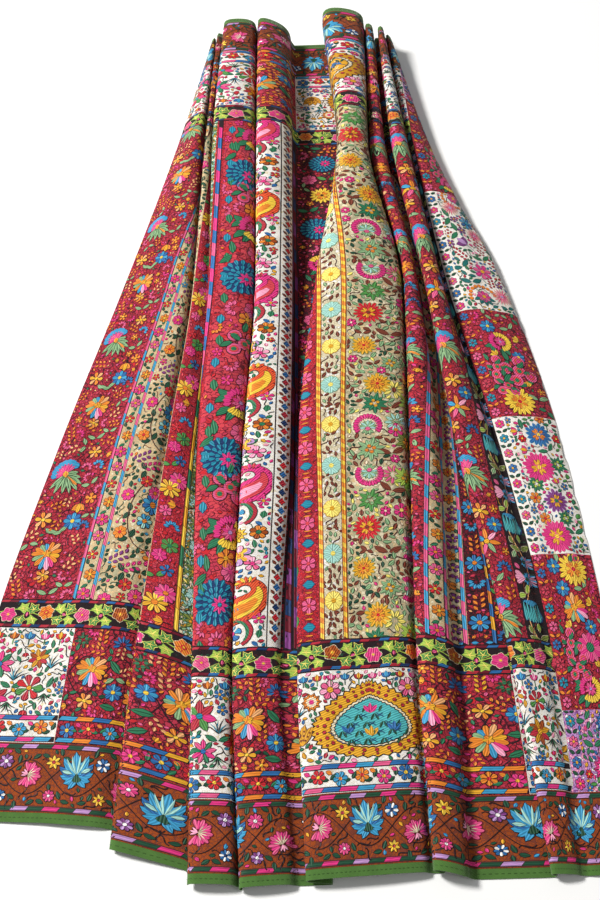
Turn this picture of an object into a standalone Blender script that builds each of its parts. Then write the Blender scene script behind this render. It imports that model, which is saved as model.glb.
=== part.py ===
"""A jamawar shawl laid on a flat surface: gathered into rolled pleats at its far end and
fanned out at its near end. Metres, +Z up, the near hem towards -Y, the floor at Z = 0."""
import math

import bmesh
import bpy
import numpy as np

# Driving sizes of the flat cloth
CLOTH_WIDTH = 1.37
CLOTH_LENGTH = 2.03
WALL = 0.002
SEAM_GAP = 0.0003

# Widths of the end pieces, from the hem inwards
EDGING = 0.015
RUST_BORDER = 0.110
END_PANEL = 0.200
VINE_BAND = 0.055

# Places of the lengthwise seams, across the cloth from its left edge
FIELD_EDGE = 1.190
SIDE_SEAM = 1.235

# How the cloth lies
LAID_LENGTH = 1.975
NEAR_REACH = 1.055
REST = WALL / 2
CREASE = 0.0018
FLOOR_CONTACT = 0.0003
COLUMN_PITCH = 0.0132
FIELD_ROWS = 15
BORDER_ROWS = 2
PANEL_ROWS = 2
STATIONS = (0.0, 0.2, 0.4, 0.6, 0.8, 1.0)
MITER_LIMIT = 0.55
SHARP_EDGE = math.radians(50)
ROW_CLEARANCE = 0.02
TOLERANCE = 1e-5

MM = 0.001

# Fold lines from left to right, each given at the six stations from the near hem to the far end.
# place: where the fold lies. floor: height of its foot. under: how far the cloth runs on beneath
# the next pleat, or beneath the last one where it is negative. back: how far above its foot it
# comes back, or below it where it is negative. seen and again: the place across the flat
# cloth where it goes out of sight and where it shows again. All in millimetres.
FOLDS = (
    dict(name="left edge", place=(-575, -538, -462, -370, -284, -212), floor=(1, 1, 1, 1, 1, 1),
         under=(0, 0, 0, 0, 0, 0), back=(0, 0, 0, 0, 0, 0),
         seen=(0, 0, 0, 0, 0, 0), again=(0, 0, 0, 0, 0, 0)),
    dict(name="second pleat", place=(-303, -284, -255, -221, -212, -198), floor=(1, 1, 1, 2, 4, 4),
         under=(12, 12, 14, 12, 54, 92), back=(7, 8, 10, 13, 20, 18),
         seen=(245, 248, 240, 205, 112, 52), again=(286, 286, 284, 278, 260, 250)),
    dict(name="first ridge", place=(-175, -185, -195, -189, -194, -181), floor=(1, 1, 1, 17, 29, 29),
         under=(7, 7, 8, 12, 22, 26), back=(7, 7, 8, 9, 15, 18),
         seen=(360, 358, 345, 325, 290, 275), again=(394, 394, 388, 378, 366, 360)),
    dict(name="second ridge", place=(-95, -116, -108, -92, -97, -101), floor=(1, 1, 2, 14, 36, 36),
         under=(6, 6, 6, 6, 6, 6), back=(6, 6, 6, 6, 6, 6),
         seen=(470, 470, 468, 464, 462, 460), again=(494, 494, 498, 502, 505, 506)),
    dict(name="deep valley", place=(-5, -31, -14, -11, -13, -18), floor=(1, 1, 1, 1, 1, 3),
         under=(0, 0, 0, 0, 0, 0), back=(0, 0, 0, 0, 0, 0),
         seen=(582, 580, 585, 590, 595, 595), again=(582, 580, 585, 590, 595, 595)),
    dict(name="third ridge", place=(8, -6, -4, 30, 81, 53), floor=(1, 1, 1, 1, 1, 3),
         under=(42, 40, 38, 30, 18, 24), back=(7, 8, 10, 16, 26, 28),
         seen=(592, 592, 597, 625, 670, 658), again=(682, 682, 688, 708, 752, 760)),
    dict(name="fourth ridge", place=(205, 198, 206, 213, 154, 155), floor=(1, 1, 1, 8, 26, 30),
         under=(20, 18, 12, 8, 6, 6), back=(7, 7, 8, 8, 8, 8),
         seen=(885, 885, 882, 876, 868, 868), again=(945, 940, 932, 922, 915, 915)),
    dict(name="right valley", place=(267, 268, 267, 246, 193, 177), floor=(1, 1, 1, 8, 20, 22),
         under=(0, 0, 0, 0, -26, -50), back=(0, 0, 0, 0, -14, -15),
         seen=(1020, 1020, 1000, 970, 966, 966), again=(1020, 1020, 1000, 970, 1042, 1086)),
    dict(name="fifth ridge", place=(388, 353, 294, 254, 201, 183), floor=(1, 1, 1, 8, 26, 30),
         under=(10, 14, 22, 30, 24, 12), back=(9, 12, 14, 15, 16, 14),
         seen=(1096, 1082, 1034, 978, 1050, 1092), again=(1140, 1140, 1122, 1112, 1120, 1132)),
    dict(name="side border", place=(442, 428, 376, 300, 244, 200), floor=(1, 1, 1, 8, 30, 36),
         under=(0, 0, 0, 5, 6, 5), back=(0, 0, 0, 5, 6, 6),
         seen=(1235, 1235, 1230, 1195, 1184, 1174), again=(1235, 1235, 1232, 1232, 1226, 1206)),
    dict(name="right edge", place=(562, 536, 502, 430, 297, 213), floor=(1, 1, 3, 12, 24, 34),
         under=(0, 0, 0, 0, 48, 108), back=(0, 0, 0, 0, 0, 0),
         seen=(1370, 1370, 1370, 1370, 1292, 1230), again=(1370, 1370, 1370, 1370, 1370, 1370)),
)

# Pleats between those fold lines. rise and fall: height of the crest at its left and right
# shoulder, in millimetres. slope_in and slope_out: the share of the pleat's width that each
# flank takes.
PLEATS = (
    dict(name="left panel", rise=(3, 4, 6, 12, 26, 26), fall=(10, 13, 20, 28, 42, 36),
         slope_in=0.34, slope_out=0.10),
    dict(name="pleat", rise=(14, 15, 20, 28, 42, 38), fall=(8, 9, 14, 24, 42, 38),
         slope_in=0.04, slope_out=0.30),
    dict(name="first ridge", rise=(20, 23, 34, 50, 72, 76), fall=(18, 20, 30, 46, 70, 74),
         slope_in=0.02, slope_out=0.08),
    dict(name="second ridge", rise=(20, 24, 38, 58, 80, 88), fall=(16, 18, 30, 44, 66, 56),
         slope_in=0.02, slope_out=0.10),
    dict(name="valley floor", rise=(1, 1, 1, 1, 1, 3), fall=(1, 1, 1, 1, 1, 3),
         slope_in=0.30, slope_out=0.30),
    dict(name="third ridge", rise=(22, 26, 38, 64, 100, 90), fall=(17, 20, 34, 58, 94, 80),
         slope_in=0.01, slope_out=0.06),
    dict(name="fourth ridge", rise=(32, 34, 42, 54, 64, 64), fall=(26, 28, 36, 50, 64, 62),
         slope_in=0.02, slope_out=0.16),
    dict(name="right floor", rise=(1, 1, 1, 8, 26, 30), fall=(1, 1, 1, 8, 26, 30),
         slope_in=0.30, slope_out=0.30),
    dict(name="fifth ridge", rise=(20, 24, 38, 60, 68, 68), fall=(14, 18, 30, 54, 66, 66),
         slope_in=0.03, slope_out=0.26),
    dict(name="side panel", rise=(5, 7, 14, 32, 46, 50), fall=(3, 5, 12, 26, 38, 44),
         slope_in=0.20, slope_out=0.34),
)

# How far each end of the cloth lies from a straight line, across the flat cloth, in millimetres
NEAR_HEM = (
    (0, 95), (145, 89), (250, 80), (285, 47), (330, 29), (368, 14), (392, -8), (476, -9),
    (486, -15), (580, -7), (680, -4), (800, 5), (885, 12), (945, 13), (1000, 2), (1110, 6), (1370, 10),
)
FAR_HEM = (
    (0, -20), (145, -14), (360, -4), (480, 0), (595, -10), (680, -6), (760, 28), (870, 18),
    (960, -14), (1110, -16), (1370, -40),
)

# Colours of the ground cloths
COLOURS = {
    "crimson": (0.43, 0.030, 0.055),
    "white": (0.84, 0.81, 0.76),
    "lavender": (0.66, 0.50, 0.66),
    "khaki": (0.46, 0.42, 0.29),
    "rust": (0.42, 0.095, 0.020),
    "black": (0.014, 0.012, 0.012),
    "green": (0.11, 0.24, 0.055),
}

# End panel patches from left to right: where each one ends across the cloth, and its ground
NEAR_PATCHES = (
    (0.145, "white"), (0.385, "crimson"), (0.482, "white"), (0.665, "crimson"),
    (0.925, "white"), (1.090, "crimson"), (SIDE_SEAM, "white"),
)
FAR_PATCHES = (
    (0.145, "white"), (0.350, "crimson"), (0.482, "white"), (0.595, "crimson"),
    (0.900, "white"), (1.090, "crimson"), (SIDE_SEAM, "white"),
)
# Side border patches from the near end: where each one ends along the cloth, and its ground
SIDE_PATCHES = (
    (0.259, "lavender"), (0.548, "crimson"), (0.848, "white"), (1.115, "crimson"),
    (1.459, "white"), (1.780, "crimson"), (CLOTH_LENGTH - EDGING - RUST_BORDER, "lavender"),
)

# Seams along the cloth
SEAM_1 = EDGING
SEAM_2 = SEAM_1 + RUST_BORDER
SEAM_3 = SEAM_2 + END_PANEL
SEAM_4 = SEAM_3 + VINE_BAND


def clear_scene():
    for item in list(bpy.data.objects):
        bpy.data.objects.remove(item, do_unlink=True)


def monotone_slopes(values, step):
    """End-to-end slopes of a curve through evenly spaced values that never overshoots them."""
    rise = np.diff(values) / step
    slopes = np.zeros(len(values))
    slopes[0] = rise[0]
    slopes[-1] = rise[-1]
    for k in range(1, len(values) - 1):
        if rise[k - 1] * rise[k] > 0:
            slopes[k] = 2 * rise[k - 1] * rise[k] / (rise[k - 1] + rise[k])
    return slopes


def along(values, v):
    """Reads a row of station values at the share v of the laid length."""
    values = np.asarray(values, dtype=float)
    step = STATIONS[1] - STATIONS[0]
    v = min(max(v, 0.0), 1.0)
    k = min(int(v / step), len(values) - 2)
    t = v / step - k
    slopes = monotone_slopes(values, step)
    return (
        values[k] * (1 + 2 * t) * (1 - t) ** 2
        + slopes[k] * step * t * (1 - t) ** 2
        + values[k + 1] * t * t * (3 - 2 * t)
        + slopes[k + 1] * step * t * t * (t - 1)
    )


def fold_at(fold, v):
    """A fold line's six measures at the share v of the laid length, in metres."""
    return {key: along(fold[key], v) * MM for key in ("place", "floor", "under", "back", "seen", "again")}


def control_polygon(v):
    """The corners that the cross-section runs between, and the places known on the flat cloth."""
    folds = [fold_at(fold, v) for fold in FOLDS]
    points = [(folds[0]["place"], folds[0]["floor"])]
    known = [(0.0, 0.0)]
    for number, pleat in enumerate(PLEATS):
        left = folds[number]
        right = folds[number + 1]
        width = right["place"] - left["place"]
        rise = along(pleat["rise"], v) * MM
        fall = along(pleat["fall"], v) * MM
        points.append((left["place"] + pleat["slope_in"] * width, rise))
        if number > 0:
            known.append((len(points) - 1.5, left["again"]))
        points.append((right["place"] - CREASE - pleat["slope_out"] * (width - CREASE), fall))
        if number < len(PLEATS) - 1:
            points.append((right["place"] - CREASE, right["floor"]))
            known.append((len(points) - 1.5, right["seen"]))
            points.extend(return_fold(right))
    last = folds[-1]
    points.append((last["place"], last["floor"]))
    known.append((len(points) - 1.0, last["seen"]))
    points.append((last["place"], REST))
    points.append((last["place"] - last["under"], REST))
    known.append((len(points) - 1.0, CLOTH_WIDTH))
    return np.array(points), known


def return_fold(fold):
    """The corners of the cloth as it runs on beneath the next pleat and comes back."""
    low = fold["floor"]
    high = low + fold["back"]
    end = fold["place"] + fold["under"]
    bend = math.copysign(min(abs(fold["back"]), abs(fold["under"])) / 2, fold["under"])
    return [(end - bend, low), (end, low), (end, high), (end - bend, high), (fold["place"] + CREASE, high)]


def section(v, steps=12):
    """The cross-section at the share v of the laid length: places across the flat cloth, and X and Z."""
    corners, known = control_polygon(v)
    middles = (corners[:-1] + corners[1:]) / 2
    line = [corners[0]]
    place = [0.0]
    share = np.arange(1, steps + 1) / steps
    line.append(middles[0])
    place.append(0.5)
    for k in range(1, len(corners) - 1):
        for t in share:
            line.append((1 - t) ** 2 * middles[k - 1] + 2 * t * (1 - t) * corners[k] + t * t * middles[k])
            place.append(k - 0.5 + t)
    line.append(corners[-1])
    place.append(len(corners) - 1.0)
    line = np.array(line)
    run = np.concatenate(([0.0], np.cumsum(np.linalg.norm(np.diff(line, axis=0), axis=1))))
    run += np.linspace(0.0, 1e-9, len(run))
    known_run = np.interp([item[0] for item in known], place, run)
    flat = np.interp(run, known_run, [item[1] for item in known])
    return flat, line[:, 0], line[:, 1]


def hem_offset(table, across):
    """How far a hem lies from a straight line at a place across the cloth."""
    table = np.array(table) * MM
    return np.interp(across, table[:, 0], table[:, 1])


class LaidCloth:
    """Turns a place on the flat cloth (across, along) into a point in space."""

    def __init__(self, columns=1200, rows=100):
        self.across = np.linspace(0.0, CLOTH_WIDTH, columns)
        self.share = np.linspace(0.0, 1.0, rows)
        self.x = np.zeros((rows, columns))
        self.z = np.zeros((rows, columns))
        for k, v in enumerate(self.share):
            flat, x, z = section(v)
            self.x[k] = np.interp(self.across, flat, x)
            self.z[k] = np.interp(self.across, flat, z)

    def value_at(self, grid, across, share):
        column = np.clip(across / CLOTH_WIDTH, 0, 1) * (len(self.across) - 1)
        row = np.clip(share, 0, 1) * (len(self.share) - 1)
        i = np.minimum(column.astype(int), len(self.across) - 2)
        j = np.minimum(row.astype(int), len(self.share) - 2)
        a = column - i
        b = row - j
        top = grid[j, i] * (1 - a) + grid[j, i + 1] * a
        bottom = grid[j + 1, i] * (1 - a) + grid[j + 1, i + 1] * a
        return top * (1 - b) + bottom * b

    def points(self, across, length):
        """Points of the middle of the wall, for arrays of places on the flat cloth."""
        near = hem_offset(NEAR_HEM, across)
        far = LAID_LENGTH + hem_offset(FAR_HEM, across)
        share = length / CLOTH_LENGTH
        y = near + (far - near) * share
        y += (NEAR_REACH * CLOTH_LENGTH - far + near) * share * (1 - share)
        share = y / LAID_LENGTH
        x = self.value_at(self.x, across, share)
        z = self.value_at(self.z, across, share)
        return np.stack([x, y, z], axis=-1)


def spaced(stops, pitch):
    """Places from the first stop to the last that include every stop, no further apart than pitch."""
    stops = sorted(set(round(stop, 6) for stop in stops))
    places = [stops[0]]
    for start, end in zip(stops[:-1], stops[1:]):
        count = max(1, math.ceil((end - start) / pitch - 1e-6))
        places.extend(start + (end - start) * (k + 1) / count for k in range(count))
    return np.array(places)


def row_places():
    field_end = CLOTH_LENGTH - SEAM_4
    near = [0.0, SEAM_1]
    near += [SEAM_1 + RUST_BORDER * (k + 1) / BORDER_ROWS for k in range(BORDER_ROWS)]
    near += [SEAM_2 + END_PANEL * (k + 1) / PANEL_ROWS for k in range(PANEL_ROWS)]
    near += [SEAM_4]
    side_ends = [end for end, _ in SIDE_PATCHES]
    field = list(np.linspace(SEAM_4, field_end, FIELD_ROWS + 1))
    for end in side_ends:
        nearest = min(range(1, len(field) - 1), key=lambda k: abs(field[k] - end))
        if SEAM_4 < end < field_end:
            field[nearest] = end
    far = [CLOTH_LENGTH - place for place in near]
    inner = [end for end in side_ends if end < SEAM_4 - ROW_CLEARANCE or end > field_end + ROW_CLEARANCE]
    near = [place for place in near if abs(place - inner[0]) > ROW_CLEARANCE or place in (SEAM_2, SEAM_3)]
    return np.array(sorted(set(round(p, 6) for p in near + field + far + inner)))


def outward_normals(grid):
    """Offset directions that keep the wall's thickness round each crease."""
    across = grid[:, 1:] - grid[:, :-1]
    length = grid[1:] - grid[:-1]
    faces = np.cross((across[:-1] + across[1:]) / 2, (length[:, :-1] + length[:, 1:]) / 2)
    faces /= np.linalg.norm(faces, axis=-1, keepdims=True)
    padded = np.zeros((grid.shape[0] + 1, grid.shape[1] + 1, 3))
    padded[1:-1, 1:-1] = faces
    weight = np.zeros(padded.shape[:2])
    weight[1:-1, 1:-1] = 1
    total = padded[:-1, :-1] + padded[1:, :-1] + padded[:-1, 1:] + padded[1:, 1:]
    count = weight[:-1, :-1] + weight[1:, :-1] + weight[:-1, 1:] + weight[1:, 1:]
    size = np.linalg.norm(total, axis=-1, keepdims=True)
    flatness = size / count[..., None]
    return total / size / np.clip(flatness, MITER_LIMIT, 1.0)


def material(name, ground, roughness=0.86):
    shade = bpy.data.materials.new(name)
    shade.use_nodes = True
    surface = shade.node_tree.nodes["Principled BSDF"]
    surface.inputs["Base Color"].default_value = (*COLOURS[ground], 1.0)
    surface.inputs["Roughness"].default_value = roughness
    surface.inputs["Metallic"].default_value = 0.0
    shade.diffuse_color = (*COLOURS[ground], 1.0)
    return shade


def inset_edges(grid):
    """Draws the rim of a piece in by half a seam gap."""
    grid = grid.copy()
    for edge, inner in ((0, 1), (-1, -2)):
        step = grid[inner] - grid[edge]
        grid[edge] += step / np.linalg.norm(step, axis=-1, keepdims=True) * SEAM_GAP / 2
    for edge, inner in ((0, 1), (-1, -2)):
        step = grid[:, inner] - grid[:, edge]
        grid[:, edge] += step / np.linalg.norm(step, axis=-1, keepdims=True) * SEAM_GAP / 2
    return grid


def cloth_piece(name, ground, grid, normals):
    """One closed wall of cloth over a grid of points."""
    grid = inset_edges(grid)
    rows, columns = grid.shape[:2]
    mesh = bmesh.new()
    upper = grid + normals * WALL / 2
    lower = grid - normals * WALL / 2
    for side in (upper, lower):
        side[side[..., 2] < FLOOR_CONTACT, 2] = 0.0
    top = [[mesh.verts.new(upper[r, c]) for c in range(columns)] for r in range(rows)]
    low = [[mesh.verts.new(lower[r, c]) for c in range(columns)] for r in range(rows)]
    for r in range(rows - 1):
        for c in range(columns - 1):
            mesh.faces.new((top[r][c], top[r][c + 1], top[r + 1][c + 1], top[r + 1][c]))
            mesh.faces.new((low[r][c], low[r + 1][c], low[r + 1][c + 1], low[r][c + 1]))
    for r in range(rows - 1):
        mesh.faces.new((top[r][0], top[r + 1][0], low[r + 1][0], low[r][0]))
        mesh.faces.new((top[r + 1][-1], top[r][-1], low[r][-1], low[r + 1][-1]))
    for c in range(columns - 1):
        mesh.faces.new((top[0][c + 1], top[0][c], low[0][c], low[0][c + 1]))
        mesh.faces.new((top[-1][c], top[-1][c + 1], low[-1][c + 1], low[-1][c]))
    bmesh.ops.triangulate(mesh, faces=mesh.faces[:])
    data = bpy.data.meshes.new(name)
    mesh.to_mesh(data)
    mesh.free()
    data.shade_smooth()
    data.set_sharp_from_angle(angle=SHARP_EDGE)
    data.materials.append(material(name + "_cloth", ground))
    piece = bpy.data.objects.new(name, data)
    bpy.context.scene.collection.objects.link(piece)
    return piece


def pieces():
    """Every cut piece: its name, its ground, and its reach across and along the flat cloth."""
    far_seams = [CLOTH_LENGTH - seam for seam in (SEAM_4, SEAM_3, SEAM_2, SEAM_1)]
    rows = [
        ("field_cloth", "khaki", (0.0, FIELD_EDGE), (SEAM_4, far_seams[0])),
        ("lotus_stripe", "black", (FIELD_EDGE, SIDE_SEAM), (SEAM_4, far_seams[0])),
        ("near_vine_band", "black", (0.0, SIDE_SEAM), (SEAM_3, SEAM_4)),
        ("far_vine_band", "black", (0.0, SIDE_SEAM), (far_seams[0], far_seams[1])),
        ("near_rust_border", "rust", (0.0, CLOTH_WIDTH), (SEAM_1, SEAM_2)),
        ("far_rust_border", "rust", (0.0, CLOTH_WIDTH), (far_seams[2], far_seams[3])),
        ("near_green_edging", "green", (0.0, CLOTH_WIDTH), (0.0, SEAM_1)),
        ("far_green_edging", "green", (0.0, CLOTH_WIDTH), (far_seams[3], CLOTH_LENGTH)),
    ]
    for end, patches, reach in (
        ("near", NEAR_PATCHES, (SEAM_2, SEAM_3)),
        ("far", FAR_PATCHES, (far_seams[1], far_seams[2])),
    ):
        start = 0.0
        for number, (stop, ground) in enumerate(patches, 1):
            rows.append((f"{end}_block_{number}", ground, (start, stop), reach))
            start = stop
    start = SEAM_2
    for number, (stop, ground) in enumerate(SIDE_PATCHES, 1):
        rows.append((f"side_block_{number}", ground, (SIDE_SEAM, CLOTH_WIDTH), (start, stop)))
        start = stop
    return rows


def build():
    clear_scene()
    cut = pieces()
    stops = [0.0, CLOTH_WIDTH]
    for _, _, across, _ in cut:
        stops.extend(across)
    columns = spaced(stops, COLUMN_PITCH)
    rows = row_places()
    across, length = np.meshgrid(columns, rows)
    grid = LaidCloth().points(across, length)
    middle = (grid[..., :2].reshape(-1, 2).min(axis=0) + grid[..., :2].reshape(-1, 2).max(axis=0)) / 2
    grid[..., 0] -= middle[0]
    grid[..., 1] -= middle[1]
    normals = outward_normals(grid)
    for name, ground, (left, right), (start, end) in cut:
        picked_rows = np.where((rows > start - TOLERANCE) & (rows < end + TOLERANCE))[0]
        picked_columns = np.where((columns > left - TOLERANCE) & (columns < right + TOLERANCE))[0]
        picked = np.ix_(picked_rows, picked_columns)
        cloth_piece(name, ground, grid[picked], normals[picked])


build()
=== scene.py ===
"""Looks of a jamawar shawl laid on a flat surface: cloth, needlework, floor, light and camera."""
import math

import bpy
import numpy as np
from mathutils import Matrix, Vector


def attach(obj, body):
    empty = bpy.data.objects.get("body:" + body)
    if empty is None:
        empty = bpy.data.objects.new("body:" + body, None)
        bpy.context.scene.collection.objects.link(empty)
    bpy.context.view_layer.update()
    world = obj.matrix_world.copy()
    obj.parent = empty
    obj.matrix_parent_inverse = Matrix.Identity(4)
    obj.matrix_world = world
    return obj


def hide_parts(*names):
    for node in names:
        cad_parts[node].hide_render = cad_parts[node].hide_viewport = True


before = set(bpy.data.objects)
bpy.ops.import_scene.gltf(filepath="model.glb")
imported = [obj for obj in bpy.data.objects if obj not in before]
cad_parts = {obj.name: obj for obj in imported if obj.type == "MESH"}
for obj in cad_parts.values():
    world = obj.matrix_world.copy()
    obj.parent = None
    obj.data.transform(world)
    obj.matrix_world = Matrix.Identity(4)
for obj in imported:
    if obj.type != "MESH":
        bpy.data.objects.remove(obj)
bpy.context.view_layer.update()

# Sizes of the flat cloth, as in the solids
CLOTH_WIDTH = 1.37
CLOTH_LENGTH = 2.03
EDGING = 0.015
RUST_BORDER = 0.110
END_PANEL = 0.200
VINE_BAND = 0.055
FIELD_EDGE = 1.190
SIDE_SEAM = 1.235
MM = 0.001

# Seams across the cloth, counted from the near hem. The far end has the same ones, from its own hem
SEAM_1 = EDGING
SEAM_2 = SEAM_1 + RUST_BORDER
SEAM_3 = SEAM_2 + END_PANEL
SEAM_4 = SEAM_3 + VINE_BAND
SEAMS = (SEAM_1, SEAM_2, SEAM_3, SEAM_4)

# The laid cloth, as in the solids: its length, how fast the cloth runs along it at the near hem, the height
# of cloth that rests on the surface, how far the corners of a fold lie from its line, and where its
# sections are given as shares of its length
LAID_LENGTH = 1.975
NEAR_REACH = 1.055
REST = 0.001
CREASE = 0.0018
STATIONS = (0.0, 0.2, 0.4, 0.6, 0.8, 1.0)
# Into how many points each corner of a section is rounded, and how many sections the cloth is laid through
BEND_STEPS = 12
SECTIONS = 160

# Sizes of the shells: thickness, lowest face, pitch of their grid, and the gap between two sewn pieces
SHEET = 0.0016
SHEET_FLOOR = 0.0002
COLUMN_PITCH = 0.0050
ROW_PITCH = 0.0145
SEAM_GAP = 0.0003
# Normals grow where the cloth bends, by one over a cosine that is kept above this
MITER_LIMIT = 0.6
# How much of its height needlework keeps between the cloth and the surface
PRESSED = 0.12
# Keeps a division by a length of nothing from failing
NOT_ZERO = 1e-12

# A value that is 0 at all six stations
NONE = (0, 0, 0, 0, 0, 0)
# Fold lines from left to right, each given at the six stations from the near hem to the far end, in
# millimetres: place across and height, how far the cloth runs on under the next pleat (to the left where that
# is below 0) and how much higher it comes back, and where on the flat cloth it goes out of sight and shows
# again. The right edge is tucked in below itself
FOLDS = (
    dict(name="left edge", place=(-575, -538, -462, -370, -284, -212), floor=(1, 1, 1, 1, 1, 1),
         under=NONE, back=NONE,
         seen=NONE, again=NONE),
    dict(name="second pleat", place=(-303, -284, -255, -221, -212, -198), floor=(1, 1, 1, 2, 4, 4),
         under=(12, 12, 14, 12, 54, 92), back=(7, 8, 10, 13, 20, 18),
         seen=(245, 248, 240, 205, 112, 52), again=(286, 286, 284, 278, 260, 250)),
    dict(name="first ridge", place=(-175, -185, -195, -189, -194, -181), floor=(1, 1, 1, 17, 29, 29),
         under=(7, 7, 8, 12, 22, 26), back=(7, 7, 8, 9, 15, 18),
         seen=(360, 358, 345, 325, 290, 275), again=(394, 394, 388, 378, 366, 360)),
    dict(name="second ridge", place=(-95, -116, -108, -92, -97, -101), floor=(1, 1, 2, 14, 36, 36),
         under=(6, 6, 6, 6, 6, 6), back=(6, 6, 6, 6, 6, 6),
         seen=(470, 470, 468, 464, 462, 460), again=(494, 494, 498, 502, 505, 506)),
    dict(name="deep valley", place=(-5, -31, -14, -11, -13, -18), floor=(1, 1, 1, 1, 1, 3),
         under=NONE, back=NONE,
         seen=(582, 580, 585, 590, 595, 595), again=(582, 580, 585, 590, 595, 595)),
    dict(name="third ridge", place=(8, -6, -4, 30, 81, 53), floor=(1, 1, 1, 1, 1, 3),
         under=(42, 40, 38, 30, 18, 24), back=(7, 8, 10, 16, 26, 28),
         seen=(592, 592, 597, 625, 670, 658), again=(682, 682, 688, 708, 752, 760)),
    dict(name="fourth ridge", place=(205, 198, 206, 213, 154, 155), floor=(1, 1, 1, 8, 26, 30),
         under=(20, 18, 12, 8, 6, 6), back=(7, 7, 8, 8, 8, 8),
         seen=(885, 885, 882, 876, 868, 868), again=(945, 940, 932, 922, 915, 915)),
    dict(name="right valley", place=(267, 268, 267, 246, 193, 177), floor=(1, 1, 1, 8, 20, 22),
         under=(0, 0, 0, 0, -26, -50), back=(0, 0, 0, 0, -14, -15),
         seen=(1020, 1020, 1000, 970, 966, 966), again=(1020, 1020, 1000, 970, 1042, 1086)),
    dict(name="fifth ridge", place=(388, 353, 294, 254, 201, 183), floor=(1, 1, 1, 8, 26, 30),
         under=(10, 14, 22, 30, 24, 12), back=(9, 12, 14, 15, 16, 14),
         seen=(1096, 1082, 1034, 978, 1050, 1092), again=(1140, 1140, 1122, 1112, 1120, 1132)),
    dict(name="side border", place=(442, 428, 376, 300, 244, 200), floor=(1, 1, 1, 8, 30, 36),
         under=(0, 0, 0, 5, 6, 5), back=(0, 0, 0, 5, 6, 6),
         seen=(1235, 1235, 1230, 1195, 1184, 1174), again=(1235, 1235, 1232, 1232, 1226, 1206)),
    dict(name="right edge", place=(562, 536, 502, 430, 297, 213), floor=(1, 1, 3, 12, 24, 34),
         under=(0, 0, 0, 0, 48, 108), back=NONE,
         seen=(1370, 1370, 1370, 1370, 1292, 1230), again=(1370, 1370, 1370, 1370, 1370, 1370)),
)
# Pleats between those fold lines: the heights of their two shoulders in millimetres, and how far these lie
# in from the fold lines, as shares of the width
PLEATS = (
    dict(name="left panel", rise=(3, 4, 6, 12, 26, 26), fall=(10, 13, 20, 28, 42, 36),
         slope_in=0.34, slope_out=0.10),
    dict(name="pleat", rise=(14, 15, 20, 28, 42, 38), fall=(8, 9, 14, 24, 42, 38),
         slope_in=0.04, slope_out=0.30),
    dict(name="first ridge", rise=(20, 23, 34, 50, 72, 76), fall=(18, 20, 30, 46, 70, 74),
         slope_in=0.02, slope_out=0.08),
    dict(name="second ridge", rise=(20, 24, 38, 58, 80, 88), fall=(16, 18, 30, 44, 66, 56),
         slope_in=0.02, slope_out=0.10),
    dict(name="valley floor", rise=(1, 1, 1, 1, 1, 3), fall=(1, 1, 1, 1, 1, 3),
         slope_in=0.30, slope_out=0.30),
    dict(name="third ridge", rise=(22, 26, 38, 64, 100, 90), fall=(17, 20, 34, 58, 94, 80),
         slope_in=0.01, slope_out=0.06),
    dict(name="fourth ridge", rise=(32, 34, 42, 54, 64, 64), fall=(26, 28, 36, 50, 64, 62),
         slope_in=0.02, slope_out=0.16),
    dict(name="right floor", rise=(1, 1, 1, 8, 26, 30), fall=(1, 1, 1, 8, 26, 30),
         slope_in=0.30, slope_out=0.30),
    dict(name="fifth ridge", rise=(20, 24, 38, 60, 68, 68), fall=(14, 18, 30, 54, 66, 66),
         slope_in=0.03, slope_out=0.26),
    dict(name="side panel", rise=(5, 7, 14, 32, 46, 50), fall=(3, 5, 12, 26, 38, 44),
         slope_in=0.20, slope_out=0.34),
)
# How far each end lies from a straight line: (place across the flat cloth, offset along), in millimetres
NEAR_HEM = (
    (0, 95), (145, 89), (250, 80), (285, 47), (330, 29), (368, 14), (392, -8), (476, -9),
    (486, -15), (580, -7), (680, -4), (800, 5), (885, 12), (945, 13), (1000, 2), (1110, 6), (1370, 10),
)
FAR_HEM = (
    (0, -20), (145, -14), (360, -4), (480, 0), (595, -10), (680, -6), (760, 28), (870, 18),
    (960, -14), (1110, -16), (1370, -40),
)
# Patches of the end panels and of the side border, as in the solids
NEAR_PATCHES = (
    (0.145, "white"), (0.385, "crimson"), (0.482, "white"), (0.665, "crimson"),
    (0.925, "white"), (1.090, "crimson"), (SIDE_SEAM, "white"),
)
FAR_PATCHES = (
    (0.145, "white"), (0.350, "crimson"), (0.482, "white"), (0.595, "crimson"),
    (0.900, "white"), (1.090, "crimson"), (SIDE_SEAM, "white"),
)
SIDE_PATCHES = (
    (0.259, "lavender"), (0.548, "crimson"), (0.848, "white"), (1.115, "crimson"),
    (1.459, "white"), (1.780, "crimson"), (CLOTH_LENGTH - SEAM_2, "lavender"),
)
# The far white patch of the side border, counted from 0, has motifs of its own
FAR_WHITE = 4

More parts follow.
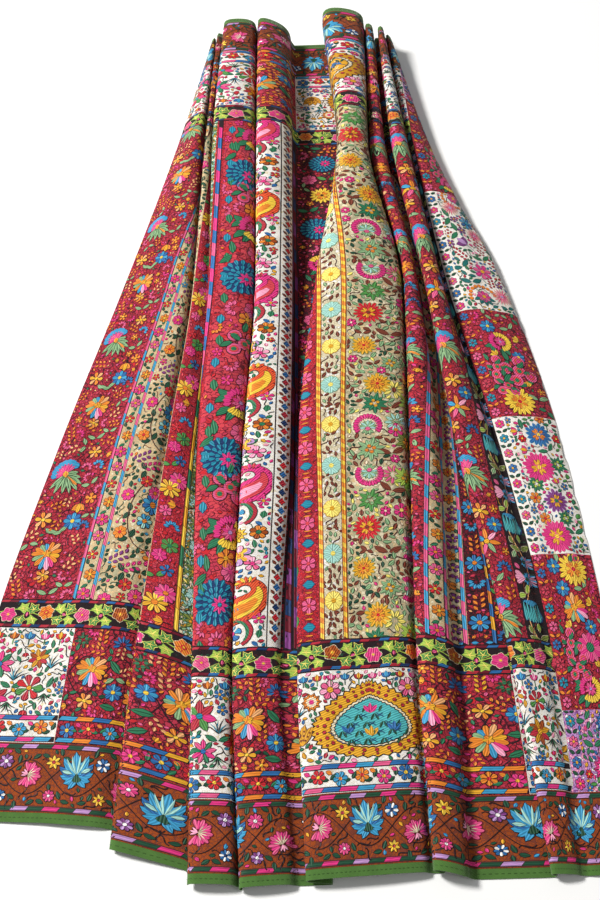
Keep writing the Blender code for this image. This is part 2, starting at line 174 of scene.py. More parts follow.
# Soft creases, in millimetres: from one place on the flat cloth to another (across, along), how far they
# reach to each side, and how high they are
CREASES = (
    ((30, 380), (60, 1150), 16, 3.0), ((95, 60), (70, 900), 20, -2.5),
    ((150, 250), (120, 1300), 18, 3.2), ((205, 30), (190, 820), 15, 2.6),
    ((20, 900), (70, 1700), 14, 2.6), ((110, 1150), (60, 1900), 14, -2.6),
    ((310, 0), (320, 560), 12, 2.2), ((335, 500), (315, 1300), 10, -2.0),
    ((425, 120), (415, 760), 13, -2.2), ((440, 820), (425, 1600), 12, 2.2),
    ((530, 40), (540, 620), 12, 2.4), ((520, 700), (545, 1450), 14, -2.4),
    ((730, 60), (745, 700), 14, 2.4), ((800, 240), (775, 1120), 20, -3.0),
    ((845, 20), (835, 620), 15, 2.8), ((770, 900), (800, 1720), 16, 2.8),
    ((840, 1000), (850, 1800), 13, -2.2), ((965, 0), (975, 520), 12, 2.0),
    ((950, 620), (940, 1500), 10, -2.2), ((1040, 0), (1035, 330), 12, 2.0),
    ((1160, 40), (1170, 620), 13, 2.4), ((1200, 500), (1175, 1250), 14, -2.4),
    ((1150, 1180), (1155, 1900), 10, 2.6), ((1265, 60), (1290, 760), 20, -2.6),
    ((1320, 300), (1335, 1050), 16, 2.4), ((1285, 820), (1300, 1500), 16, 2.8),
    ((1345, 1180), (1330, 1650), 12, -2.0), ((0, 200), (260, 330), 18, 1.6),
    ((690, 330), (900, 430), 16, 1.5), ((1120, 380), (1360, 300), 18, 1.8),
)
# Over what distance from a return fold the creases come in, and how slowly they fade at their own ends
CREASE_MARGIN = 0.014
CREASE_FADE = 0.7

# Camera, worked out from the photo: place, tilt below the horizon, lens and sensor
CAMERA_PLACE = (0.0027, -1.4995, 1.985)
CAMERA_TILT = 56.66
LENS = 50.0
LONG_SIDE = 36.0
CLIP_END = 50.0
# Floor and light: half the floor's size and its grey, the two lamps and the light all around
FLOOR_REACH = 9
FLOOR_GREY = 0.93
KEY_LAMP = dict(place=(-4.8, 1.5, 4.6), size=1.6, power=690, colour=(1.0, 0.985, 0.955))
FILL_LAMP = dict(place=(4.4, -2.4, 5.0), size=2.8, power=40, colour=(1.0, 1.0, 1.0))
AMBIENT = 0.22


def linear(code):
    """A colour written as six hex digits of sRGB, in the linear values that shaders use."""
    shares = [int(code[k:k + 2], 16) / 255 for k in (0, 2, 4)]
    return tuple(x / 12.92 if x <= 0.04045 else ((x + 0.055) / 1.055) ** 2.4 for x in shares)


THREADS = {
    name: linear(code)
    for name, code in dict(
        ink="22141a", umber="4a1c1c", wine="6a1226", crimson="b0293a", red="c8242e", coral="d2424e",
        white="f4f1ee", cream="e6d8b8", peach="e6a870", orange="e0822a", gold="e0a42a", yellow="ecc440",
        lemon="f4e070", ochre="c98f20", brown="7a3a28", rust="9c4614", pine="1c6a66", pink="f4a3c0",
        magenta="d8347e", rose="dc5a88", purple="7c3a7e", lilac="ba8ec6", sky="3c96c2", blue="2b68a4",
        navy="1b3866", teal="1f86a0", turquoise="4fb0b4", aqua="9fcfc4", lime="a6c450", leaf="4c8c44",
        green="2a7450", forest="1c4a34", sage="86ab7c", moss="7a8a3c", khaki="b9b18e", ruby="c0364e",
        plum="480f20", sand="dcbc8e", ember="d8502a", hem_green="5b8a3c", moss_green="446a2c",
    ).items()
}


# The laid cloth, from the same sections as the solids

def monotone_slopes(values, step):
    """Slopes at evenly spaced values that make no curve between them overshoot."""
    rise = np.diff(values) / step
    slopes = np.zeros(len(values))
    slopes[0] = rise[0]
    slopes[-1] = rise[-1]
    for k in range(1, len(values) - 1):
        if rise[k - 1] * rise[k] > 0:
            slopes[k] = 2 * rise[k - 1] * rise[k] / (rise[k - 1] + rise[k])
    return slopes


def along(values, v):
    """The value at the share v of the laid length, from values at the six stations."""
    values = np.asarray(values, dtype=float)
    step = STATIONS[1] - STATIONS[0]
    v = min(max(v, 0.0), 1.0)
    k = min(int(v / step), len(values) - 2)
    t = v / step - k
    slopes = monotone_slopes(values, step)
    return (
        values[k] * (1 + 2 * t) * (1 - t) ** 2
        + slopes[k] * step * t * (1 - t) ** 2
        + values[k + 1] * t * t * (3 - 2 * t)
        + slopes[k + 1] * step * t * t * (t - 1)
    )


def fold_at(fold, v):
    return {key: along(fold[key], v) * MM for key in ("place", "floor", "under", "back", "seen", "again")}


def return_fold(fold):
    """Corners of the stretch that turns back under the next pleat, from its foot to its upper end."""
    low = fold["floor"]
    high = low + fold["back"]
    end = fold["place"] + fold["under"]
    bend = math.copysign(min(abs(fold["back"]), abs(fold["under"])) / 2, fold["under"])
    return [(end - bend, low), (end, low), (end, high), (end - bend, high), (fold["place"] + CREASE, high)]


def control_polygon(v):
    """Corners (x, z) of the section at v, and which corner is at which place across the flat cloth."""
    folds = [fold_at(fold, v) for fold in FOLDS]
    points = [(folds[0]["place"], folds[0]["floor"])]
    known = [(0.0, 0.0)]
    for number, pleat in enumerate(PLEATS):
        left = folds[number]
        right = folds[number + 1]
        width = right["place"] - left["place"]
        points.append((left["place"] + pleat["slope_in"] * width, along(pleat["rise"], v) * MM))
        if number > 0:
            known.append((len(points) - 2.0, left["again"]))
        shoulder = right["place"] - CREASE - pleat["slope_out"] * (width - CREASE)
        points.append((shoulder, along(pleat["fall"], v) * MM))
        if number < len(PLEATS) - 1:
            points.append((right["place"] - CREASE, right["floor"]))
            known.append((len(points) - 1.0, right["seen"]))
            points.extend(return_fold(right))
    last = folds[-1]
    points.append((last["place"], last["floor"]))
    known.append((len(points) - 1.0, last["seen"]))
    points.append((last["place"], REST))
    points.append((last["place"] - last["under"], REST))
    known.append((len(points) - 1.0, CLOTH_WIDTH))
    return np.array(points), known


def section(v):
    """Places across the flat cloth, X and Z of the cross-section at the share v of the laid length."""
    corners, known = control_polygon(v)
    middles = (corners[:-1] + corners[1:]) / 2
    line = [corners[0], middles[0]]
    place = [0.0, 0.5]
    share = np.arange(1, BEND_STEPS + 1) / BEND_STEPS
    for k in range(1, len(corners) - 1):
        for t in share:
            line.append((1 - t) ** 2 * middles[k - 1] + 2 * t * (1 - t) * corners[k] + t * t * middles[k])
            place.append(k - 0.5 + t)
    line.append(corners[-1])
    place.append(len(corners) - 1.0)
    line = np.array(line)
    run = np.concatenate(([0.0], np.cumsum(np.linalg.norm(np.diff(line, axis=0), axis=1))))
    # Two points may share a place, so the run is made to rise everywhere
    run += np.linspace(0.0, 1e-9, len(run))
    known_run = np.interp([item[0] for item in known], place, run)
    flat = np.interp(run, known_run, [item[1] for item in known])
    return flat, line[:, 0], line[:, 1]


def hem_offset(table, across):
    table = np.array(table) * MM
    return np.interp(across, table[:, 0], table[:, 1])


def spaced(stops, pitch):
    """All the stops, with even steps of at most the pitch between them."""
    stops = sorted(set(round(stop, 6) for stop in stops))
    places = [stops[0]]
    for start, end in zip(stops[:-1], stops[1:]):
        count = max(1, math.ceil((end - start) / pitch - 1e-6))
        places.extend(start + (end - start) * (k + 1) / count for k in range(count))
    return np.array(places)


def grid_normals(grid, limit=MITER_LIMIT):
    """A normal at each point of the grid, longer where faces meet at an angle, so an offset stays even."""
    across = grid[:, 1:] - grid[:, :-1]
    length = grid[1:] - grid[:-1]
    faces = np.cross((across[:-1] + across[1:]) / 2, (length[:, :-1] + length[:, 1:]) / 2)
    faces /= np.linalg.norm(faces, axis=-1, keepdims=True) + NOT_ZERO
    padded = np.zeros((grid.shape[0] + 1, grid.shape[1] + 1, 3))
    padded[1:-1, 1:-1] = faces
    weight = np.zeros(padded.shape[:2])
    weight[1:-1, 1:-1] = 1
    total = padded[:-1, :-1] + padded[1:, :-1] + padded[:-1, 1:] + padded[1:, 1:]
    count = weight[:-1, :-1] + weight[1:, :-1] + weight[:-1, 1:] + weight[1:, 1:]
    size = np.linalg.norm(total, axis=-1, keepdims=True) + NOT_ZERO
    return total / size / np.clip(size / count[..., None], limit, 1.0)


class Cloth:
    """The laid cloth as one fine grid, and any place on it."""

    def __init__(self, columns, rows):
        self.columns = columns
        self.rows = rows
        shares = np.linspace(0.0, 1.0, SECTIONS)
        table_x = np.zeros((len(shares), len(columns)))
        table_z = np.zeros_like(table_x)
        hidden = np.zeros_like(table_x)
        for k, v in enumerate(shares):
            flat, x, z = section(v)
            table_x[k] = np.interp(columns, flat, x)
            table_z[k] = np.interp(columns, flat, z)
            hidden[k] = self.hidden_share(v)
        across, length = np.meshgrid(columns, rows)
        near = hem_offset(NEAR_HEM, across)
        far = LAID_LENGTH + hem_offset(FAR_HEM, across)
        share = length / CLOTH_LENGTH
        y = near + (far - near) * share
        y += (NEAR_REACH * CLOTH_LENGTH - far + near) * share * (1 - share)
        where = y / LAID_LENGTH
        self.grid = np.zeros(across.shape + (3,))
        self.grid[..., 1] = y
        covered = np.zeros(across.shape)
        for c in range(len(columns)):
            self.grid[:, c, 0] = np.interp(where[:, c], shares, table_x[:, c])
            self.grid[:, c, 2] = np.interp(where[:, c], shares, table_z[:, c])
            covered[:, c] = np.interp(where[:, c], shares, hidden[:, c])
        lift = self.crease_heights(across, length) * (1 - covered)
        self.grid += grid_normals(self.grid, 1.0) * lift[..., None]
        flat = self.grid[..., :2].reshape(-1, 2)
        self.grid[..., :2] -= (flat.min(axis=0) + flat.max(axis=0)) / 2
        self.grid[..., 2] = np.maximum(self.grid[..., 2], SHEET / 2 + SHEET_FLOOR)
        self.normals = grid_normals(self.grid)

    def hidden_share(self, v):
        """How far each column is out of sight in a return fold: 1 inside it, 0 well clear of it."""
        share = np.zeros(len(self.columns))
        for fold in FOLDS[1:-1]:
            fold = fold_at(fold, v)
            off = np.maximum(fold["seen"] - self.columns, self.columns - fold["again"])
            share = np.maximum(share, 1 - np.clip(off / CREASE_MARGIN, 0, 1))
        return share

    def crease_heights(self, across, length):
        """How much the soft creases raise each place of the flat cloth."""
        height = np.zeros(across.shape)
        for start, end, reach, top in CREASES:
            start = np.array(start) * MM
            run = np.array(end) * MM - start
            size = np.linalg.norm(run)
            run /= size
            t = ((across - start[0]) * run[0] + (length - start[1]) * run[1]) / size
            off = (across - start[0]) * run[1] - (length - start[1]) * run[0]
            fade = np.sin(np.pi * np.clip(t, 0, 1)) ** CREASE_FADE
            height += top * MM * fade * np.exp(-(off / (reach * MM)) ** 2)
        return height

    def on(self, across, length, lift):
        """Points over places on the flat cloth, lifted off the sheet's upper face."""
        column = np.interp(across, self.columns, np.arange(len(self.columns)))
        row = np.interp(length, self.rows, np.arange(len(self.rows)))
        i = np.minimum(column.astype(int), len(self.columns) - 2)
        j = np.minimum(row.astype(int), len(self.rows) - 2)
        a = (column - i)[:, None]
        b = (row - j)[:, None]
        points = []
        for source in (self.grid, self.normals):
            low = source[j, i] * (1 - a) + source[j, i + 1] * a
            high = source[j + 1, i] * (1 - a) + source[j + 1, i + 1] * a
            points.append(low * (1 - b) + high * b)
        laid = points[0] + points[1] * (SHEET / 2 + lift)
        below = np.minimum(laid[:, 2] - SHEET_FLOOR, 0)
        laid[:, 2] += below * (PRESSED - 1)
        return laid


# Materials

class Shader:
    """A material, with short ways to add nodes to it."""

    def __init__(self, name):
        self.material = bpy.data.materials.new(name)
        self.material.use_nodes = True
        self.nodes = self.material.node_tree.nodes
        self.links = self.material.node_tree.links

    def fill(self, made, inputs):
        """Gives each input, by name or number, a value, a colour or another node's output."""
        for slot, value in inputs.items():
            if isinstance(value, bpy.types.NodeSocket):
                self.links.new(value, made.inputs[slot])
            elif made.inputs[slot].type == "RGBA":
                made.inputs[slot].default_value = (*value, 1.0)
            else:
                made.inputs[slot].default_value = value

    def add(self, kind, inputs, **settings):
        """A new node's outputs."""
        made = self.nodes.new("ShaderNode" + kind)
        for name, value in settings.items():
            setattr(made, name, value)
        self.fill(made, inputs)
        return made.outputs

    def math(self, operation, *values):
        return self.add("Math", dict(enumerate(values)), operation=operation)[0]

    def mix(self, share, first, second, blend="MIX"):
        return self.add("Mix", {0: share, 6: first, 7: second}, data_type="RGBA", blend_type=blend)[2]

    def map_range(self, value, source=(0.0, 1.0), target=(0.0, 1.0), kind="LINEAR"):
        """A value carried from one range to another."""
        limits = {"From Min": source[0], "From Max": source[1], "To Min": target[0], "To Max": target[1]}
        return self.add("MapRange", {"Value": value, **limits}, interpolation_type=kind)[0]

    def place(self, map_name, across, along_cloth):
        """Flat cloth coordinates in metres, times a scale each way."""
        source = self.add("UVMap", {}, uv_map=map_name)[0]
        return self.add("Mapping", {"Vector": source, "Scale": (across, along_cloth, 1.0)})[0]

    def steps(self, value, starts, colours):
        """Flat colours in turn, each one from its own start."""
        made = self.nodes.new("ShaderNodeValToRGB")
        made.color_ramp.interpolation = "CONSTANT"
        self.links.new(value, made.inputs[0])
        elements = made.color_ramp.elements
        for k, (start, colour) in enumerate(zip(starts, colours)):
            step = elements[k] if k < 2 else elements.new(start)
            step.position = start
            step.color = (*colour, 1.0)
        return made.outputs[0]

    def weave(self, pitch):
        """The height of a twill: fine slanting ribs with a finer cross thread."""
        place = self.place("cloth", 1 / pitch, 1 / pitch)
        waves = []
        for direction, scale, distortion in (("DIAGONAL", 0.32, 1.2), ("Y", 0.6, 0.8)):
            inputs = {"Vector": place, "Scale": scale, "Distortion": distortion}
            waves.append(self.add("TexWave", inputs, bands_direction=direction)["Fac"])
        return self.math("MULTIPLY", *waves)

    def finish(self, colour, height, roughness, sheen, bump):
        """Gives the surface its colour and relief, and returns the material."""
        relief = self.add("Bump", {"Height": height, "Strength": bump, "Distance": RELIEF})[0]
        self.fill(self.nodes["Principled BSDF"], {
            "Base Color": colour, "Normal": relief, "Roughness": roughness, "Sheen Weight": sheen,
            "Sheen Roughness": 0.45, "Specular IOR Level": 0.25})
        return self.material


# Depth of the relief and pitches of the two twills, in metres
RELIEF = 0.0008
FINE_TWILL = 0.0016
EDGING_TWILL = 0.0020


def stitched_ground(name, shades, line, cell, line_width):
    """A ground cloth covered with small outlined stitches: cells in several shades with dark edges."""
    shader = Shader(name)
    place = shader.place("cloth", 1000 / cell, 1000 / cell)
    wobble = shader.add("TexNoise", {"Vector": place, "Scale": 1.3, "Detail": 2.0})["Color"]
    bent = shader.add("VectorMath", {0: wobble, 1: (1.1, 1.1, 0.0), 2: place}, operation="MULTIPLY_ADD")[0]
    cells = shader.add("TexVoronoi", {"Vector": bent, "Scale": 1.0})["Color"]
    edges = shader.add("TexVoronoi", {"Vector": bent, "Scale": 1.0}, feature="DISTANCE_TO_EDGE")["Distance"]
    picked = shader.add("SeparateColor", {0: cells})[0]
    total = sum(share for _, share in shades)
    starts = [0.0]
    for _, share in shades[:-1]:
        starts.append(starts[-1] + share / total)
    dyed = shader.steps(picked, starts, [THREADS[shade] for shade, _ in shades])
    rim = shader.map_range(edges, (line_width * 0.4, line_width), kind="SMOOTHSTEP")
    colour = shader.mix(rim, THREADS[line], dyed)
    patches = shader.add("TexNoise", {"Vector": place, "Scale": 0.12, "Detail": 3.0})["Fac"]
    worn = shader.map_range(patches, (0.3, 0.7), (0.80, 1.12))
    colour = shader.mix(1.0, colour, worn, "MULTIPLY")
    height = shader.math("MULTIPLY_ADD", rim, 0.9, shader.weave(FINE_TWILL))
    return shader.finish(colour, height, 0.82, 0.06, 0.55)


def thread_material(name, roughness, bump):
    """Silk stitches: the thread's own colour, uneven, with ribs along the stitch and painted shade in the
    grooves between the ribs.
    """
    shader = Shader(name)
    dyed = shader.add("VertexColor", {}, layer_name="thread")["Color"]
    place = shader.place("stitch", 1000.0, 1000.0)
    inputs = {"Vector": place, "Scale": 0.085, "Distortion": 1.8, "Detail": 1.0}
    ribs = shader.add("TexWave", inputs, bands_direction="Y")["Fac"]
    strands = shader.place("stitch", 90.0, 420.0)
    uneven = shader.add("TexNoise", {"Vector": strands, "Scale": 1.0, "Detail": 2.0})["Fac"]
    # The colour is painted darker in the grooves between the ribs, where the relief is lower: painted shade
    painted_groove_shade = shader.math("MULTIPLY_ADD", shader.math("POWER", ribs, 0.6), 0.46, 0.28)
    shade = shader.math("MULTIPLY_ADD", uneven, 0.78, painted_groove_shade)
    return shader.finish(shader.mix(1.0, dyed, shade, "MULTIPLY"), ribs, roughness, 0.05, bump)


def reverse_material(name, shades):
    """The back of the cloth: loose floats of thread over a muted ground."""
    shader = Shader(name)
    floats = shader.add("TexVoronoi", {"Vector": shader.place("cloth", 330.0, 120.0), "Scale": 1.0})["Color"]
    picked = shader.add("SeparateColor", {0: floats})[1]
    starts = [k / len(shades) for k in range(len(shades))]
    muted = [[0.7 * x + 0.02 for x in THREADS[shade]] for shade in shades]
    return shader.finish(shader.steps(picked, starts, muted), shader.weave(FINE_TWILL), 0.9, 0.2, 0.5)


def plain_cloth(name, shade, second):
    """A plain twill binding with slight unevenness of its dye, and painted shade in the hollows of its weave.
    """
    shader = Shader(name)
    place = shader.place("cloth", 60.0, 60.0)
    dye = shader.add("TexNoise", {"Vector": place, "Scale": 1.0, "Detail": 4.0})["Fac"]
    weave = shader.weave(EDGING_TWILL)
    # The colour is painted darker where the weave is low: painted shade in the hollows of the twill
    painted_weave_shade = shader.map_range(weave, target=(0.75, 1.1))
    colour = shader.mix(1.0, shader.mix(dye, THREADS[shade], THREADS[second]), painted_weave_shade, "MULTIPLY")
    return shader.finish(colour, weave, 0.85, 0.3, 0.6)


# Stitched grounds: threads with their shares, the thread between the stitches, the size of a stitch in
# millimetres and the width of the lines between them as a share of it
STITCHED_GROUNDS = {
    "crimson": ((("crimson", 7), ("ruby", 2), ("red", 0.6)), "plum", 7.0, 0.10),
    "coral": ((("coral", 6), ("ruby", 2), ("red", 1)), "wine", 8.0, 0.07),
    "red": ((("red", 5), ("crimson", 3), ("coral", 2)), "wine", 4.0, 0.10),
    "maroon": ((("wine", 4), ("crimson", 2), ("umber", 1)), "ink", 6.5, 0.13),
    "white": ((("white", 12), ("cream", 0.4)), "cream", 5.0, 0.05),
    "tan": ((("sand", 8), ("cream", 1.5), ("khaki", 1)), "khaki", 4.5, 0.07),
    "pale": ((("cream", 8), ("white", 2)), "khaki", 5.0, 0.08),
    "khaki": ((("khaki", 4), ("sand", 3), ("cream", 3)), "khaki", 6.0, 0.08),
    "olive": ((("moss", 4), ("aqua", 3), ("cream", 3), ("ochre", 1)), "forest", 5.0, 0.12),
    "black": ((("ink", 8), ("forest", 0.6), ("umber", 0.8)), "ink", 4.0, 0.10),
    "rust": ((("rust", 9), ("brown", 0.6)), "brown", 6.0, 0.10),
    "lavender": ((("lilac", 6), ("pink", 2), ("white", 1)), "purple", 4.5, 0.08),
}
GROUNDS = {name: stitched_ground(name + "_ground", *row) for name, row in STITCHED_GROUNDS.items()}
GROUNDS["green"] = plain_cloth("green_edging_cloth", "hem_green", "moss_green")
REVERSE = reverse_material(
    "reverse_floats", ("crimson", "wine", "cream", "coral", "blue", "sage", "rust", "pink"))
SILK = thread_material("silk_thread", 0.55, 0.8)
OUTLINE = thread_material("outline_thread", 0.8, 0.4)

# Lengthwise stripes of the field: where each one ends across the cloth, and its ground
STRIPES = (
    (0.127, "crimson"), (0.165, "tan"), (0.290, "tan"), (0.335, "red"), (0.385, "olive"), (0.400, "red"),
    (0.480, "coral"), (0.550, "white"), (0.579, "white"), (0.595, "maroon"), (0.680, "maroon"),
    (0.732, "red"), (0.768, "pale"), (0.905, "khaki"), (0.965, "crimson"), (1.035, "tan"),
    (1.110, "maroon"), (FIELD_EDGE, "crimson"),
)
# Where pieces lie on their bake maps: share of the map, then margin. A shell's upper face takes the lower
# half of its map, and its other faces the upper half
NEEDLEWORK_BAKE = (0.98, 0.01)
SHELL_BAKE = ((0.98, 0.485), (0.01, 0.005))
# Edges of a shell that turn by more than this many degrees look sharp
SHARP = 60


# Shells

def cut_pieces():
    """Every cut piece: its name, its ground, and its reach across and along the flat cloth."""
    far = [CLOTH_LENGTH - seam for seam in SEAMS]
    rows = [
        ("field_cloth", "field", (0.0, FIELD_EDGE), (SEAM_4, far[3])),
        ("lotus_stripe", "black", (FIELD_EDGE, SIDE_SEAM), (SEAM_4, far[3])),
        ("near_vine_band", "black", (0.0, SIDE_SEAM), (SEAM_3, SEAM_4)),
        ("far_vine_band", "black", (0.0, SIDE_SEAM), (far[3], far[2])),
        ("near_rust_border", "rust", (0.0, CLOTH_WIDTH), (SEAM_1, SEAM_2)),
        ("far_rust_border", "rust", (0.0, CLOTH_WIDTH), (far[1], far[0])),
        ("near_green_edging", "green", (0.0, CLOTH_WIDTH), (0.0, SEAM_1)),
        ("far_green_edging", "green", (0.0, CLOTH_WIDTH), (far[0], CLOTH_LENGTH)),
    ]
    for end, patches, reach in (
        ("near", NEAR_PATCHES, (SEAM_2, SEAM_3)),
        ("far", FAR_PATCHES, (far[2], far[1])),
    ):
        start = 0.0
        for number, (stop, ground) in enumerate(patches, 1):
            rows.append((f"{end}_block_{number}", ground, (start, stop), reach))
            start = stop
    start = SEAM_2
    for number, (stop, ground) in enumerate(SIDE_PATCHES, 1):
        rows.append((f"side_block_{number}", ground, (SIDE_SEAM, CLOTH_WIDTH), (start, stop)))
        start = stop
    return rows


def inset_edges(grid):
    """The grid with its outermost lines moved inwards by half a seam gap."""
    grid = grid.copy()
    for edge, inner in ((0, 1), (-1, -2)):
        for lines in (grid, grid.swapaxes(0, 1)):
            step = lines[inner] - lines[edge]
            lines[edge] += step / (np.linalg.norm(step, axis=-1, keepdims=True) + NOT_ZERO) * SEAM_GAP / 2
    return grid


def build_mesh(name, points, loops, sizes, maps, materials, material_index=None, colours=None):
    """A mesh object from flat arrays. maps: name to one pair of numbers per corner."""
    data = bpy.data.meshes.new(name)
    data.vertices.add(len(points))
    data.vertices.foreach_set("co", np.asarray(points, dtype=np.float32).ravel())
    data.loops.add(len(loops))
    data.loops.foreach_set("vertex_index", np.asarray(loops, dtype=np.int32))
    data.polygons.add(len(sizes))
    starts = np.concatenate(([0], np.cumsum(sizes)[:-1])).astype(np.int32)
    data.polygons.foreach_set("loop_start", starts)
    data.polygons.foreach_set("loop_total", np.asarray(sizes, dtype=np.int32))
    for material in materials:
        data.materials.append(material)
    if material_index is not None:
        data.polygons.foreach_set("material_index", np.asarray(material_index, dtype=np.int32))
    data.polygons.foreach_set("use_smooth", np.full(len(sizes), True))
    for map_name, values in maps.items():
        layer = data.uv_layers.new(name=map_name)
        layer.uv.foreach_set("vector", np.asarray(values, dtype=np.float32).ravel())
    if colours is not None:
        layer = data.color_attributes.new("thread", "FLOAT_COLOR", "POINT")
        layer.data.foreach_set("color", np.asarray(colours, dtype=np.float32).ravel())
    data.update()
    data.validate()
    made = bpy.data.objects.new(name, data)
    bpy.context.scene.collection.objects.link(made)
    return made


def closed_sheet(rows, columns):
    """Faces of a closed sheet over a grid: the upper ones, the lower ones and the walls around it."""
    index = np.arange(rows * columns).reshape(rows, columns)
    under = index + rows * columns
    top = np.stack([index[:-1, :-1], index[:-1, 1:], index[1:, 1:], index[1:, :-1]], axis=-1)
    low = np.stack([under[:-1, :-1], under[1:, :-1], under[1:, 1:], under[:-1, 1:]], axis=-1)
    walls = []
    for ring, below in ((index[:, 0], under[:, 0]), (index[-1], under[-1])):
        walls.append(np.stack([ring[:-1], ring[1:], below[1:], below[:-1]], axis=-1))
    for ring, below in ((index[:, -1], under[:, -1]), (index[0], under[0])):
        walls.append(np.stack([ring[1:], ring[:-1], below[:-1], below[1:]], axis=-1))
    return top.reshape(-1, 4), low.reshape(-1, 4), np.concatenate(walls)


def shell(name, ground, across, length):
    """One thin closed sheet over its part of the grid."""
    c = np.where((CLOTH.columns > across[0] - 1e-5) & (CLOTH.columns < across[1] + 1e-5))[0]
    r = np.where((CLOTH.rows > length[0] - 1e-5) & (CLOTH.rows < length[1] + 1e-5))[0]
    grid = inset_edges(CLOTH.grid[np.ix_(r, c)])
    normals = CLOTH.normals[np.ix_(r, c)]
    upper = grid + normals * SHEET / 2
    lower = grid - normals * SHEET / 2
    lower[..., 2] = np.maximum(lower[..., 2], SHEET_FLOOR)
    top, low, walls = closed_sheet(len(r), len(c))
    faces = np.concatenate([top, low, walls])
    wide, long = np.meshgrid(CLOTH.columns[c], CLOTH.rows[r])
    flat = np.stack([wide, long], axis=-1).reshape(-1, 2)
    flat = np.concatenate([flat, flat])
    loops = faces.ravel()
    cloth_map = flat[loops]
    share = (cloth_map - flat.min(axis=0)) / (flat.max(axis=0) - flat.min(axis=0))
    bake_map = share * SHELL_BAKE[0] + SHELL_BAKE[1]
    bake_map[top.size:, 1] += 0.5
    # Walls have the first material, the lower faces the last one
    material_index = np.zeros(len(faces), dtype=int)
    if ground == "field":
        materials = [GROUNDS[stripe] for _, stripe in STRIPES] + [REVERSE]
        middle = flat[top].mean(axis=1)[:, 0]
        material_index[:len(top)] = np.searchsorted([end for end, _ in STRIPES], middle)
    else:
        materials = [GROUNDS[ground], GROUNDS["green"] if ground == "green" else REVERSE]
    material_index[len(top):len(top) + len(low)] = len(materials) - 1
    points = np.concatenate([upper.reshape(-1, 3), lower.reshape(-1, 3)])
    made = build_mesh(
        name + "_sheet", points, loops, np.full(len(faces), 4), {"cloth": cloth_map, "OFBake": bake_map},
        materials, material_index)
    made.data.set_sharp_from_angle(angle=math.radians(SHARP))
    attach(made, "root")
    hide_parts(name)


stops_across = [0.0, CLOTH_WIDTH] + [end for end, _ in STRIPES]
stops_along = [0.0, CLOTH_LENGTH]
for _, _, reach_across, reach_along in cut_pieces():
    stops_across.extend(reach_across)
    stops_along.extend(reach_along)
CLOTH = Cloth(spaced(stops_across, COLUMN_PITCH), spaced(stops_along, ROW_PITCH))
for piece_name, piece_ground, reach_across, reach_along in cut_pieces():
    shell(piece_name, piece_ground, reach_across, reach_along)


# Needlework: flat shapes in millimetres, across and along the cloth

# Layers, with the height of each above the sheet. Shapes that overlap in one layer get a small step each
LAYER_NAMES = ("outlines", "stitches", "upper_stitches", "top_stitches")
LIFTS = (0.00035, 0.00065, 0.00090, 0.00115)
OVERLAP = 0.000012
OVERLAPS = 20
OUTLINE_REACH = 1.3
# How far an edge may span the cloth, across and along, before it is halved
SPAN = (0.0065, 0.016)
# The smallest face that is kept, as twice its area in square metres
SLIVER = 1e-8
# Cells of one millimetre in which a motif looks for room, a little more than the cloth
CELLS = (1400, 2050)

# The cloth and its seams in millimetres
WIDTH = CLOTH_WIDTH * 1000
LENGTH = CLOTH_LENGTH * 1000
SIDE = SIDE_SEAM * 1000
NEAR_1, NEAR_2, NEAR_3, FIELD_START = (seam * 1000 for seam in SEAMS)
FAR_1, FAR_2, FAR_3, FIELD_STOP = ((CLOTH_LENGTH - seam) * 1000 for seam in SEAMS)

# How far the strip along an end panel's outer side reaches into it
GUARD = 46

# Outlines of blades: (share of the length, share of the width)
PROFILES = {
    "leaf": ((0, 0), (0.22, 0.75), (0.5, 1.0), (0.8, 0.6), (1, 0)),
    "petal": ((0, 0.2), (0.35, 0.65), (0.7, 1.0), (0.92, 0.7), (1, 0.25)),
    "almond": ((0, 0), (0.4, 1.0), (0.75, 0.8), (1, 0)),
    "drop": ((0, 0), (0.45, 0.55), (0.75, 1.0), (0.94, 0.65), (1, 0.2)),
    "stem": ((0, 1.0), (0.33, 1.0), (0.66, 1.0), (1, 1.0)),
    "spike": ((0, 0.9), (0.5, 0.75), (1, 0)),
}


def blade(length, width, angle=90.0, at=(0.0, 0.0), form="leaf", bend=0.0):
    """A leaf, petal or stem that leaves its foot at an angle and may bend by some degrees."""
    profile = np.array(PROFILES[form])
    t = profile[:, 0]
    heading = np.radians(angle + bend * (t - 0.5))
    step = np.diff(t) * length
    middle = (heading[:-1] + heading[1:]) / 2
    spine = np.zeros((len(t), 2))
    spine[0] = at
    spine[1:, 0] = at[0] + np.cumsum(np.cos(middle) * step)
    spine[1:, 1] = at[1] + np.cumsum(np.sin(middle) * step)
    side = np.stack([-np.sin(heading), np.cos(heading)], axis=-1) * profile[:, 1:] * width / 2
    points = []
    rungs = []
    for k in range(len(t)):
        if profile[k, 1] == 0:
            rungs.append((len(points), len(points)))
            points.append(spine[k])
        else:
            rungs.append((len(points), len(points) + 1))
            points.append(spine[k] + side[k])
            points.append(spine[k] - side[k])
    faces = []
    for (a, b), (c, d) in zip(rungs[:-1], rungs[1:]):
        if a != b:
            faces.append((a, b, d))
        if c != d:
            faces.append((a, d, c))
    return np.array(points), np.array(faces), angle


def filled(rim, centre=(0.0, 0.0)):
    """A closed outline filled around its centre."""
    count = len(rim)
    faces = [(0, k + 1, (k + 1) % count + 1) for k in range(count)]
    return np.concatenate([[centre], rim]), np.array(faces), 20.0


def disc(radius, at=(0.0, 0.0), sides=8, wave=0.0, waves=5):
    """A round or scalloped spot."""
    turn = np.arange(sides) / sides * 2 * np.pi
    reach = radius * (1 + wave * np.cos(turn * waves))
    return filled(np.stack([at[0] + np.cos(turn) * reach, at[1] + np.sin(turn) * reach], axis=-1), at)


